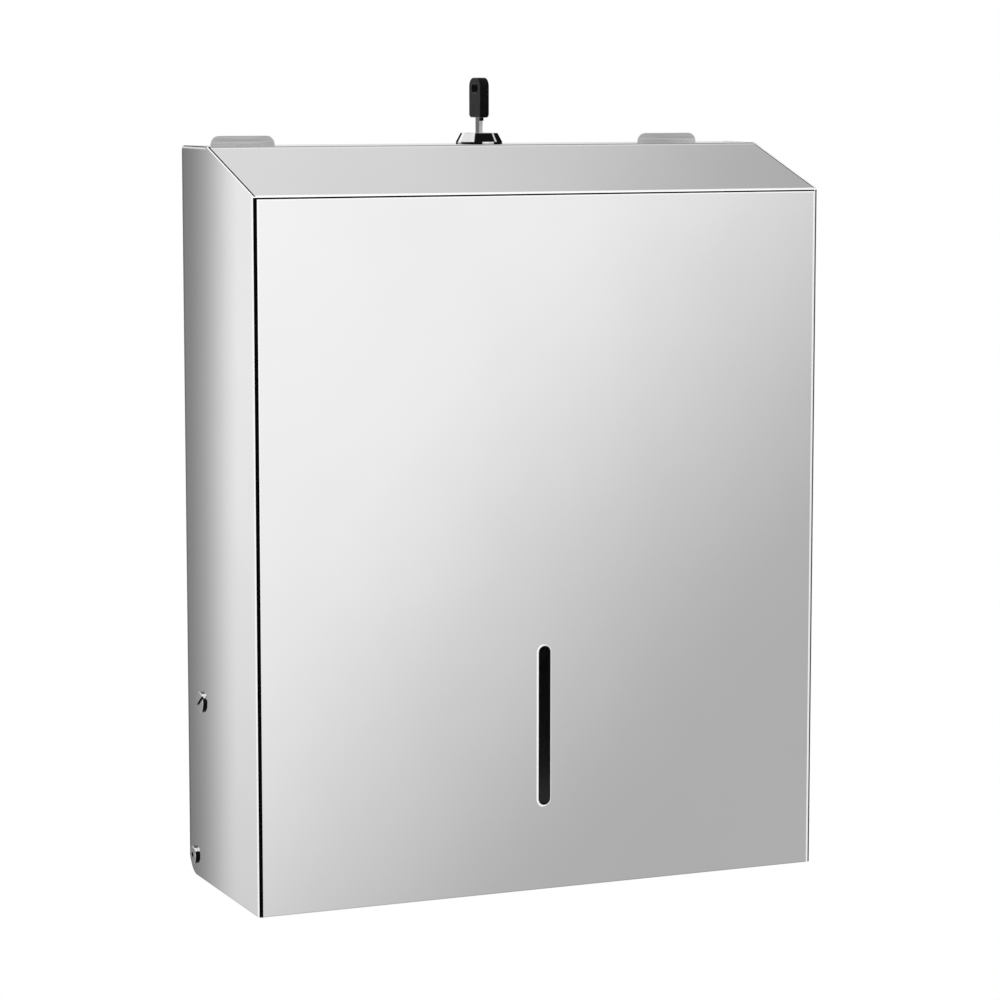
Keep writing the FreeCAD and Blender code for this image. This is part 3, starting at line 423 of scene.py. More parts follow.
@dataclass(frozen=True)
class PolishedSheet(Finish):
    """Folded sheet: mirror polish outside and a dull as-rolled finish inside, kept dark as painted shade,
    with painted reflections, painted highlights and painted shade along folds, bends and seams.

    Lengths are in metres and describe the cover that the sheet is folded into.
    Turns round the upright bends are in degrees from the front face.
    """

    half: float = 0.1375
    front: float = -0.1
    front_top: float = 0.1467
    fold: float = -0.0365
    top: float = 0.167
    foot: float = -0.17
    back: float = -0.0015
    skin: float = 0.0008
    skin_blend: float = 0.00005
    seam: float = 0.13622
    seam_half: float = 0.0004
    seam_above: float = 0.0002
    relief: float = 0.001
    side_gap: float = 0.00025
    lip: float = 0.0011
    lip_share: float = 0.75
    right_seam_shade: float = 0.2
    # the painted dark line along the upper fold, standing for its reflection, and the painted highlight in
    # front of it
    fold_shade_wide: float = 0.0016
    fold_shade_end: Pair = (0.0001, 0.0004)
    fold_shade_rough: float = 0.2
    glint_wide: float = 0.0014
    glint_end: Pair = (0.9, 0.7)
    glint_share: float = 0.35
    fade_in: float = 0.6
    # painted highlights round the slot's edge, wider on the left
    slot_half: float = 0.003
    slot_straight: float = 0.03375
    slot_middle: float = -0.09425
    slot_glint_left: float = 0.00095
    slot_glint_right: float = 0.0002
    slot_glint_blend: float = 0.0025
    slot_glint_deep: float = 0.0003
    # darker lines along the bottom edge and the rear edge
    dark_edge_wide: float = 0.0005
    dark_edge_deep: float = 0.002
    foot_edge_share: float = 0.25
    rear_edge_share: float = 0.5
    # painted reflections and painted highlight lines round the upright bends and over the front's fold: where
    # and at which turns each lies
    bend: float = 0.1355
    bend_wide: float = 0.002
    corner_left: float = 0.0006
    corner_right: float = 0.00042
    corner_low: float = -0.14
    left_black: Pair = (1.0, 51.6)
    left_white: Pair = (51.6, 85.0)
    right_white: Pair = (3.0, 13.7)
    right_dark: Pair = (13.7, 67.5)
    fold_low: Pair = (0.14572, 0.1458)
    fold_high: float = 0.14648
    fold_glint: float = 0.0005
    polish: Colour = (0.92, 0.92, 0.92)
    film: Colour = (0.9, 0.9, 0.9)
    # inner face: the as-rolled finish, kept dark as painted shade for the inside of the cover
    mill_and_shade: Colour = (0.3, 0.3, 0.3)
    mill_dull: float = 0.86
    # near black: the painted shade in the seams
    seam_shade: Colour = (0.02, 0.02, 0.02)
    # dark line colour: the painted reflection along the upper fold, and the darker lines at the bottom and
    # rear edges
    dark_line: Colour = (0.34, 0.34, 0.34)
    # white: the painted highlights
    highlight_tone: Colour = (0.99, 0.99, 0.99)
    # grey and black of the painted reflection bands
    shade: Colour = (0.09, 0.09, 0.09)
    black: Colour = (0.002, 0.002, 0.002)
    smudge: float = 0.07
    mark: float = 0.0004
    rolled: float = 0.0006
    marked: float = 0.2
    film_ends: Pair = (0.35, 0.6)
    mill_ends: Pair = (0.3, 0.7)
    haze_ends: Pair = (0.35, 0.65)
    gloss: Pair = (0.05, 0.03)
    mill_rough: float = 0.42
    gap_rough: float = 0.5
    lifts: Pair = (0.004, 0.25)
    depth: float = 0.00001
    bright_cover: float = 0.9

    def inside(self, graph: Graph, place: Parts) -> Socket:
        """Tell inside from outside by depth below the cover's own planes.

        Args:
            graph: The material's nodes.
            place: Place across, in depth and in height.

        Returns:
            1 inside, 0 outside.
        """
        x, y, z = place
        run, rise = self.fold - self.front, self.top - self.front_top
        long = math.hypot(run, rise)
        from_front = graph.minus(self.front, y)
        up_slope = graph.every(graph.minus(z, self.front_top), run / long)
        over_slope = graph.maths("MULTIPLY_ADD", from_front, rise / long, up_slope)
        from_side = graph.minus(graph.unsigned(x), self.half)
        depth = graph.most(from_side, from_front, over_slope, graph.minus(z, self.top))
        return graph.scaled(depth, -self.skin - self.skin_blend, -self.skin + self.skin_blend, 1.0, 0.0)

    def open_seams(self, graph: Graph, place: Parts) -> Socket:
        """Find where shade is painted in the open seams beside the flanges and in a round relief hole where
        each fold meets them.

        Args:
            graph: The material's nodes.
            place: Place across, in depth and in height.

        Returns:
            How much painted shade each place takes, less on the right.
        """
        x, y, z = place
        across = graph.unsigned(x)
        # painted shade: the seam groove, the relief hole, and a strip along the side's top edge beside the
        # flat top
        groove = graph.maths("COMPARE", across, self.seam, self.seam_half)
        off = graph.apart((across, self.seam), (y, self.fold))
        opened = graph.most(groove, graph.less(off, self.relief))
        opened = graph.every(opened, graph.more(z, self.front_top + self.seam_above))
        beyond, behind = graph.more(across, self.seam), graph.more(y, self.fold)
        beside = graph.every(beyond, behind, graph.more(z, self.top - self.side_gap))
        shade_by_side = graph.scaled(x, -MIDDLE_BLEND, MIDDLE_BLEND, 1.0, self.right_seam_shade)
        return graph.every(graph.most(opened, beside), shade_by_side)

    def fold_shade_lines(self, graph: Graph, place: Parts) -> tuple[Socket, Socket]:
        """Find the dark line painted along the upper fold as its reflection, and the painted highlight in
        front of it.

        Args:
            graph: The material's nodes.
            place: Place across, in depth and in height.

        Returns:
            The mark and the glint.
        """
        x, y, _ = place
        off = graph.minus(y, self.fold)
        between = graph.less(graph.unsigned(x), self.seam)
        wide, ahead = -self.fold_shade_wide, -self.fold_shade_wide - self.glint_wide
        into_fold_shade = graph.scaled(off, wide, wide * self.fade_in)
        mark = graph.every(into_fold_shade, graph.scaled(off, *self.fold_shade_end, 1.0, 0.0), between)
        into_glint = graph.scaled(off, ahead, wide - self.glint_wide * self.fade_in)
        out, gone = (wide * share for share in self.glint_end)
        glint = graph.every(into_glint, graph.scaled(off, out, gone, 1.0, 0.0), between)
        return mark, graph.every(glint, self.glint_share)

    def highlights(self, graph: Graph, place: Parts) -> Socket:
        """Find the painted highlights: a bright edge round the slot, and fine bright lines beside the bends,
        the fold and the seam.

        Args:
            graph: The material's nodes.
            place: Place across, in depth and in height.

        Returns:
            How bright they are, 0 elsewhere.
        """
        x, y, z = place
        skin = graph.less(y, self.front + self.slot_glint_deep)
        off = graph.minus(graph.unsigned(graph.minus(z, self.slot_middle)), self.slot_straight)
        to_slot = graph.apart((x, 0.0), (graph.most(off, 0.0), 0.0))
        wide_left, wide_right = self.slot_half + self.slot_glint_left, self.slot_half + self.slot_glint_right
        edge = graph.less(to_slot, graph.scaled(x, -self.slot_glint_blend, self.slot_glint_blend, wide_left, wide_right))
        tapered = graph.scaled(z, self.corner_low, self.front_top, 0.0, self.corner_left)
        left = graph.less(x, graph.minus(tapered, self.bend))
        right = graph.more(x, self.bend - self.corner_right)
        low = graph.scaled(x, -self.half, self.half, *self.fold_low)
        under = graph.more(z, graph.minus(low, self.fold_glint))
        on_front = graph.every(graph.within(x, -self.bend, self.bend), graph.less(z, low))
        line = graph.every(graph.most(under, left, right), on_front)
        high, behind = graph.more(z, self.top - self.lip), graph.more(y, self.fold)
        lip = graph.every(high, behind, graph.less(x, -self.bend), self.lip_share)
        return graph.most(lip, graph.every(skin, graph.most(edge, line)))

    def bands(self, graph: Graph, place: Parts) -> Parts:
        """Find the painted reflections: crisp bands round the upright bends and over the front's fold.

        Args:
            graph: The material's nodes.
            place: Place across, in depth and in height.

        Returns:
            The white, the grey and the black bands.
        """
        x, y, z = place
        beside = graph.minus(graph.unsigned(x), self.bend)
        out = graph.minus(self.front + self.bend_wide, y)
        turn = graph.bearing(beside, out)
        near = graph.every(graph.more(beside, 0.0), graph.more(out, 0.0), graph.less(z, self.front_top))
        left, right = graph.every(near, graph.less(x, 0.0)), graph.every(near, graph.more(x, 0.0))
        black = graph.every(left, graph.within(turn, *self.left_black))
        grey = graph.every(right, graph.within(turn, *self.right_dark))
        left_white = graph.every(left, graph.within(turn, *self.left_white))
        right_white = graph.every(right, graph.within(turn, *self.right_white))
        folded = graph.less(y, self.front + self.bend_wide)
        low = graph.scaled(x, -self.half, self.half, *self.fold_low)
        over = graph.every(folded, graph.more(z, self.fold_high))
        under = graph.every(folded, graph.more(z, low), graph.less(z, self.fold_high))
        return graph.most(left_white, right_white, over), grey, graph.most(black, under)

    def paint(self, graph: Graph) -> None:
        """Lay polish, the as-rolled finish kept dark as painted shade, a dark line painted along the upper
        fold as its reflection, darker lines along the bottom and rear edges, painted reflection bands,
        painted highlights and painted shade in the seams over one another.

        Args:
            graph: The material's nodes.
        """
        place = graph.coordinates("Object")
        _, y, z = place
        inside = self.inside(graph, place)
        sunk = self.open_seams(graph, place)
        fold_shade, glint = self.fold_shade_lines(graph, place)
        outside = graph.minus(1.0, inside)
        white, grey, black = (graph.every(band, outside) for band in self.bands(graph, place))
        bright = graph.most(glint, white, self.highlights(graph, place))
        # darker lines along the bottom edge and the rear edge
        lower = graph.every(graph.less(z, self.foot + self.dark_edge_wide), self.foot_edge_share)
        rear = graph.every(graph.more(y, self.back - self.dark_edge_deep), self.rear_edge_share)
        dark_edges = graph.every(graph.most(lower, rear), graph.less(z, self.top - self.dark_edge_wide))
        broad = graph.noise(self.smudge, detail=BROAD_DETAIL)
        fine = graph.noise(self.mark, Grain.UPRIGHT, FINE_DETAIL, FINE_SEED)
        mill_dull = tuple(self.mill_dull * part for part in self.mill_and_shade)
        streaks = graph.noise(self.rolled, Grain.UPRIGHT, seed=ROLLED_SEED)
        rolled = graph.ramp(streaks, tuple(zip(self.mill_ends, (mill_dull, self.mill_and_shade))))
        tone = graph.ramp(broad, tuple(zip(self.film_ends, (self.film, self.polish))))
        # layers: painted dark lines, the as-rolled finish kept dark as painted shade, painted reflection
        # bands, painted highlights, painted shade in the seams
        layers = (
            (graph.most(fold_shade, dark_edges), self.dark_line), (inside, rolled), (grey, self.shade),
            (black, self.black), (bright, self.highlight_tone), (sunk, self.seam_shade),
        )
        for share, layer in layers:
            tone = graph.over(share, tone, layer)
        haze = graph.maths("MULTIPLY_ADD", broad, 1 - self.marked, graph.every(fine, self.marked))
        polished = graph.scaled(haze, *self.haze_ends, *self.gloss)
        gloss = graph.maths("MULTIPLY_ADD", fold_shade, self.fold_shade_rough, polished)
        dull = graph.most(graph.every(inside, self.mill_rough), graph.every(sunk, self.gap_rough))
        dark = graph.most(grey, black)
        covered = graph.most(graph.every(bright, self.bright_cover), dark)
        level = graph.maths("MULTIPLY_ADD", dark, -PLAIN_SPECULAR, PLAIN_SPECULAR)
        lift = graph.scaled(inside, 0.0, 1.0, *self.lifts)
        graph.put("Metallic", graph.minus(1.0, covered))
        graph.put("Specular IOR Level", level)
        graph.put("Base Color", tone)
        graph.put("Roughness", graph.most(gloss, dull))
        graph.put("Normal", graph.relief(fine, lift, self.depth))


@dataclass(frozen=True)
class TurnedHead(Metal):
    """A bright fastener head: polished face, a painted reflection on its rim that is dark with a painted
    glint near its top, and painted shade in its recess.
    """

    face: float = 0.1388
    recess: float = 0.0002
    centre: Pair = (-0.022, -0.0868)
    reach: float = 0.0044
    # painted reflection on the rim: tone by how far up the surface faces
    painted_reflection: tuple[Pair, ...] = (
        (0.0, 0.008), (0.5, 0.01), (0.58, 0.95), (0.84, 0.95), (0.9, 0.12), (1.0, 0.12),
    )
    rim_ends: Pair = (0.35, 0.8)
    rim_cover: float = 0.85
    # painted shade in the recess
    recess_shade: Colour = (0.008, 0.008, 0.008)

    def paint(self, graph: Graph) -> None:
        """Paint the rim's reflection by how far up it faces, and paint shade on what lies below the face.

        Args:
            graph: The material's nodes.
        """
        super().paint(graph)
        sideways, _, upward = graph.coordinates("Normal")
        x, y, z = graph.coordinates("Object")
        painted_reflection = graph.ramp(upward, self.painted_reflection)
        rim = graph.scaled(graph.unsigned(sideways), *self.rim_ends, 1.0, 0.0)
        shaded = graph.over(rim, graph.tone(), painted_reflection)
        off = graph.apart(*zip((y, z), self.centre))
        below = graph.less(graph.unsigned(x), self.face - self.recess)
        sunk = graph.every(below, graph.less(off, self.reach))
        level = graph.split(painted_reflection)[0]
        graph.put("Metallic", graph.minus(1.0, graph.every(level, rim, self.rim_cover)))
        graph.put("Base Color", graph.over(sunk, shaded, self.recess_shade))


@dataclass(frozen=True)
class BandedChrome(Metal):
    """Chrome on a lathe-made head, with crisp light and dark bands painted round its cone and its rim as its
    reflections.

    Bearings are in degrees from straight ahead of the cover (-Y) towards the right (+X).
    """

    # painted reflections: the tone of each band by bearing
    cone: tuple[Pair, ...] = (
        (-180, 0.5), (-160, 0.8), (-128, 0.3), (-116, 0.006), (-88, 0.006), (-85.5, 1.0), (-75, 1.0),
        (-73, 0.72), (-55, 0.85), (-36, 0.82), (-34.5, 0.006), (20, 0.006), (21.5, 0.65), (26.5, 0.65),
        (28, 0.006), (68, 0.006), (76, 0.5), (105, 0.75), (128, 0.1), (150, 0.03), (166, 0.4), (180, 0.5),
    )
    rim: tuple[Pair, ...] = (
        (-180, 0.4), (-150, 0.6), (-116, 0.02), (-90, 0.02), (-87, 0.8), (-77, 0.7), (-70, 0.08),
        (-54, 0.03), (-42, 0.006), (-15, 0.006), (-13, 0.95), (15, 0.95), (18, 0.006), (68, 0.006),
        (80, 0.6), (120, 0.1), (150, 0.3), (180, 0.4),
    )
    foot: float = 0.167
    foot_ends: Pair = (0.0003, 0.0008)
    # painted shade at the foot
    foot_shade: float = 0.4
    cone_ends: Pair = (0.2, 0.3)
    face_ends: Pair = (0.8, 0.9)
    banded_bare: float = 0.35

    def paint(self, graph: Graph) -> None:
        """Paint the reflection bands by the way that the metal faces, and paint shade on its foot.

        Args:
            graph: The material's nodes.
        """
        super().paint(graph)
        across, deep, upward = graph.coordinates("Normal")
        height = graph.coordinates("Object")[2]
        bearing = graph.bearing(across, graph.every(deep, -1.0))
        along = graph.maths("DIVIDE", graph.maths("ADD", bearing, 180.0), 360.0)
        cone, rim = (graph.ramp(along, bands, (-180.0, 180.0)) for bands in (self.cone, self.rim))
        foot_low, foot_high = (self.foot + rise for rise in self.foot_ends)
        rim = graph.dimmed(rim, graph.scaled(height, foot_low, foot_high, self.foot_shade, 1.0))
        banded = graph.over(graph.scaled(upward, *self.cone_ends), rim, cone)
        painted_reflection = graph.every(graph.scaled(upward, *self.face_ends, 1.0, 0.0), graph.more(height, self.foot))
        bare = graph.every(graph.split(banded)[0], self.banded_bare)
        graph.put("Metallic", graph.add("Mix", {"Factor": painted_reflection, 2: 1.0, 3: bare}).outputs[0])
        graph.put("Specular IOR Level", 0.0)
        graph.put("Base Color", graph.over(painted_reflection, graph.tone(), banded))


@dataclass(frozen=True)
class MilledBlade(Metal):
    """Key steel with painted shade on its broad faces and in lines along them where its grooves run."""

    groove: float = 0.0011
    # painted shade on the broad faces
    broad_shade: Colour = (0.14, 0.14, 0.14)
    # painted shade in the grooves
    sunk: Colour = (0.03, 0.03, 0.03)
    broad_ends: Pair = (0.5, 0.8)
    wave_ends: Pair = (0.1, 0.6)
    sunk_share: float = 0.8

    def paint(self, graph: Graph) -> None:
        """Lay painted shade on the broad faces and in dark lines along the blade over the metal.

        Args:
            graph: The material's nodes.
        """
        super().paint(graph)
        deep = graph.coordinates("Object")[1]
        sideways = graph.coordinates("Normal")[0]
        broad = graph.scaled(graph.unsigned(sideways), *self.broad_ends)
        wave = graph.maths("SINE", graph.every(deep, 2 * math.pi / self.groove))
        line = graph.every(graph.scaled(wave, *self.wave_ends, 0.0, self.sunk_share), broad)
        broad_shade = graph.over(broad, graph.tone(), self.broad_shade)
        graph.put("Base Color", graph.over(line, broad_shade, self.sunk))


@dataclass(frozen=True)
class WeldedSheet(Metal):
    """Satin sheet with a dark as-rolled finish on its inner face, kept dark as painted shade that deepens
    towards its foot, and heat tint round its spot welds.
    """

    welds: tuple[Pair, ...] = ()
    tint: Colour = (0.42, 0.38, 0.33)
    tint_share: float = 0.55
    ring: float = 0.0034
    ring_ends: Pair = (0.0002, 0.0014)
    # inner face: kept dark as painted shade
    mill_and_shade: Colour = (0.42, 0.42, 0.42)
    inner: float = -0.0011
    cover_top: float = 0.1655
    shade_low: float = -0.2
    shade_high: float = 0.03
    shade_share: float = 0.1

    def paint(self, graph: Graph) -> None:
        """Paint shade on the inner face, darker towards its foot, and tint a soft ring round each weld.

        Args:
            graph: The material's nodes.
        """
        super().paint(graph)
        x, y, z = graph.coordinates("Object")
        near: object = 1.0
        for weld_x, weld_z in self.welds:
            off = graph.apart((graph.unsigned(x), weld_x), (z, weld_z))
            near = graph.maths("MINIMUM", near, graph.unsigned(graph.minus(off, self.ring)))
        ring = graph.scaled(near, *self.ring_ends, self.tint_share, 0.0)
        # painted shade on the inner face under the cover, darker towards the foot
        covered = graph.every(graph.less(y, self.inner), graph.less(z, self.cover_top))
        inner_shade = graph.dimmed(self.mill_and_shade, graph.scaled(z, self.shade_low, self.shade_high, self.shade_share, 1.0))
        plain = graph.over(covered, graph.tone(), inner_shade)
        graph.put("Base Color", graph.over(ring, plain, self.tint))


@dataclass(frozen=True)
class SeamBead(Metal):
    """The bead of an upper side edge, painted white as a highlight, with painted shade where it meets the
    flat top.
    """

    level: float = 0.16665
    fold: float = -0.0372
    # near black: painted shade where the bead meets the flat top
    seam_shade: Colour = (0.02, 0.02, 0.02)
    right_seam_shade: float = 0.2

    def paint(self, graph: Graph) -> None:
        """Paint shade on the bead beside the flat top, less on the right.

        Args:
            graph: The material's nodes.
        """
        super().paint(graph)
        x, y, z = graph.coordinates("Object")
        shade_by_side = graph.scaled(x, -MIDDLE_BLEND, MIDDLE_BLEND, 1.0, self.right_seam_shade)
        dark = graph.every(graph.more(y, self.fold), graph.more(z, self.level), shade_by_side)
        level = graph.maths("MULTIPLY_ADD", dark, -PLAIN_SPECULAR, PLAIN_SPECULAR)
        graph.put("Base Color", graph.over(dark, graph.tone(), self.seam_shade))
        graph.put("Specular IOR Level", level)


FLANGE_WELDS = ((0.1273, -0.141), (0.1273, -0.119), (0.1273, -0.097))
MIRROR_STEEL = PolishedSheet("mirror_steel")
SATIN_STEEL = Metal(
    "brushed_steel", (0.62, 0.62, 0.615), (0.5, 0.5, 0.5), smooth=0.3, rough=0.38,
    smudge=0.02, grain=Grain.LEVEL, mark=0.0003, lift=0.35, marked=0.7)
BACK_STEEL = WeldedSheet(
    "back_steel", (0.62, 0.62, 0.615), (0.42, 0.42, 0.42), smooth=0.3, rough=0.38,
    smudge=0.03, grain=Grain.LEVEL, mark=0.0006, lift=0.35, marked=0.75, welds=FLANGE_WELDS)
SCREW_STEEL = TurnedHead(
    "screw_steel", (0.78, 0.78, 0.78), (0.66, 0.66, 0.66), smooth=0.06, rough=0.14,
    smudge=0.003, mark=0.0002, lift=0.05)
RIVET_STEEL = replace(SCREW_STEEL, name="rivet_steel", face=0.1389, centre=(-0.0095, -0.1609), reach=0.0022)
ZINC_PLATE = Metal(
    "zinc_plate", (0.66, 0.67, 0.68), (0.5, 0.5, 0.49), smooth=0.25, rough=0.45,
    smudge=0.003, mark=0.0003, lift=0.3)
CHROME = Metal(
    "chrome_plate", (0.84, 0.84, 0.85), (0.78, 0.78, 0.79), smooth=0.02, rough=0.06,
    smudge=0.006, mark=0.0002, lift=0.01)
BANDED_CHROME = BandedChrome(
    "banded_chrome", (0.84, 0.84, 0.85), (0.78, 0.78, 0.79), smooth=0.04, rough=0.08,
    smudge=0.006, mark=0.0002, lift=0.01)
BRASS = Metal(
    "milled_brass", (0.78, 0.58, 0.27), (0.6, 0.42, 0.17), smooth=0.2, rough=0.4,
    smudge=0.002, grain=Grain.UPRIGHT, mark=0.00015, lift=0.2)
SPRING_STEEL = Metal(
    "spring_steel", (0.6, 0.6, 0.62), (0.42, 0.42, 0.44), smooth=0.2, rough=0.35,
    smudge=0.001, mark=0.0001, lift=0.2)
KEY_STEEL = MilledBlade(
    "milled_key", (0.5, 0.5, 0.49), (0.36, 0.36, 0.355), smooth=0.14, rough=0.28,
    smudge=0.003, grain=Grain.UPRIGHT, mark=0.00025, lift=0.4)
KEY_PLASTIC = Moulded(
    "moulded_bow", (0.0045, 0.0045, 0.005), (0.002, 0.002, 0.0025), smooth=0.2, rough=0.3,
    lift=0.05, bend=1.13)
# a darker copy of the brushed steel: painted shade for the inside of the cover
SHADED_INNER_STEEL = Metal(
    "shaded_inner_steel", (0.3, 0.3, 0.295), (0.22, 0.22, 0.22), smooth=0.3, rough=0.45,
    smudge=0.02, grain=Grain.LEVEL, mark=0.0002, lift=0.35)
# nearly white and barely metallic: the bead's painted highlight
BEAD_STEEL = SeamBead(
    "bead_steel", (0.97, 0.97, 0.97), (0.93, 0.93, 0.93), smooth=0.25, rough=0.35,
    smudge=0.004, mark=0.0002, lift=0.02, bare=0.2)
WELD_STEEL = Metal(
    "weld_steel", (0.5, 0.48, 0.45), (0.36, 0.34, 0.32), smooth=0.3, rough=0.45,
    smudge=0.0015, mark=0.0002, lift=0.3)
NYLON = Moulded("turned_nylon", (0.86, 0.85, 0.81), (0.78, 0.77, 0.72), smooth=0.35, rough=0.5)


@dataclass
class View:
    """A camera at the photograph's viewing angle, without shift."""

    place: Point = (-0.6056, -1.4677, 0.1973)
    turn: float = math.radians(23.107)
    dip: float = math.radians(7.176)
    lens: float = 120.53
    sensor: float = 36.0
    nearest: float = 0.05
    farthest: float = 50.0

    def set_up(self) -> None:
        """Make the camera and give it to the scene."""
        data = bpy.data.cameras.new("view")
        data.lens = self.lens
        data.sensor_width = self.sensor
        data.sensor_fit = "HORIZONTAL"
        data.clip_start = self.nearest
        data.clip_end = self.farthest
        level = Vector((math.sin(self.turn), math.cos(self.turn), 0.0)) * math.cos(self.dip)
        ahead = level - Vector((0.0, 0.0, math.sin(self.dip)))
        right = Vector((math.cos(self.turn), -math.sin(self.turn), 0.0))
        up = right.cross(ahead)
        facing = Matrix((right, up, -ahead)).transposed().to_4x4()
        camera = new_object("view", data)
        camera.matrix_world = Matrix.Translation(self.place) @ facing
        bpy.context.scene.camera = camera


@dataclass(frozen=True)
class Card:
    """A graded card that stands near the object and shows only in reflections."""

    name: str
    foot: tuple[Point, Point]
    rise: Point
    tones: tuple[Pair, ...]
    fade_ends: Pair
    fade_share: float
    tilt: float

    def hang(self) -> None:
        """Make the card above its foot line, graded along X and towards its foot."""
        mesh = bpy.data.meshes.new(self.name)
        head = [tuple(a + b for a, b in zip(point, self.rise)) for point in self.foot]
        mesh.from_pydata([*self.foot, *head], [], [(0, 1, 3, 2)])
        card = new_object(self.name, mesh)
        material, graph = new_material(self.name)
        x, _, z = graph.coordinates("Object")
        ends = (self.tones[0][0], self.tones[-1][0])
        leaning = graph.maths("MULTIPLY_ADD", z, self.tilt, x)
        along = graph.add("MapRange", {"Value": leaning, "From Min": ends[0], "From Max": ends[1]})
        graded = graph.ramp(along.outputs[0], self.tones, ends)
        faded = graph.scaled(z, *self.fade_ends, self.fade_share, 1.0)
        glow = graph.add("Emission", {"Color": graded, "Strength": faded})
        graph.add("OutputMaterial", {"Surface": glow.outputs[0]})
        mesh.materials.append(material)
        for kind in ("camera", "diffuse", "transmission", "shadow", "volume_scatter"):
            setattr(card, "visible_" + kind, False)
        LOG.info("card %s", self.name)


SIDE_CARD = Card(
    "side_card", foot=((-0.62, 0.25, -0.6), (-0.2, 0.25, -0.6)), rise=(0.0, 0.0, 0.775),
    tones=(
        (-0.62, 0.45), (-0.5, 0.62), (-0.38, 0.83), (-0.3, 0.87), (-0.2476, 0.87), (-0.2449, 0.83),
        (-0.241, 0.74), (-0.2372, 0.63), (-0.2333, 0.515), (-0.2294, 0.41), (-0.2255, 0.33),
        (-0.2217, 0.263), (-0.2178, 0.222), (-0.2, 0.16),
    ),
    fade_ends=(-0.34, 0.05), fade_share=0.74, tilt=0.0124)


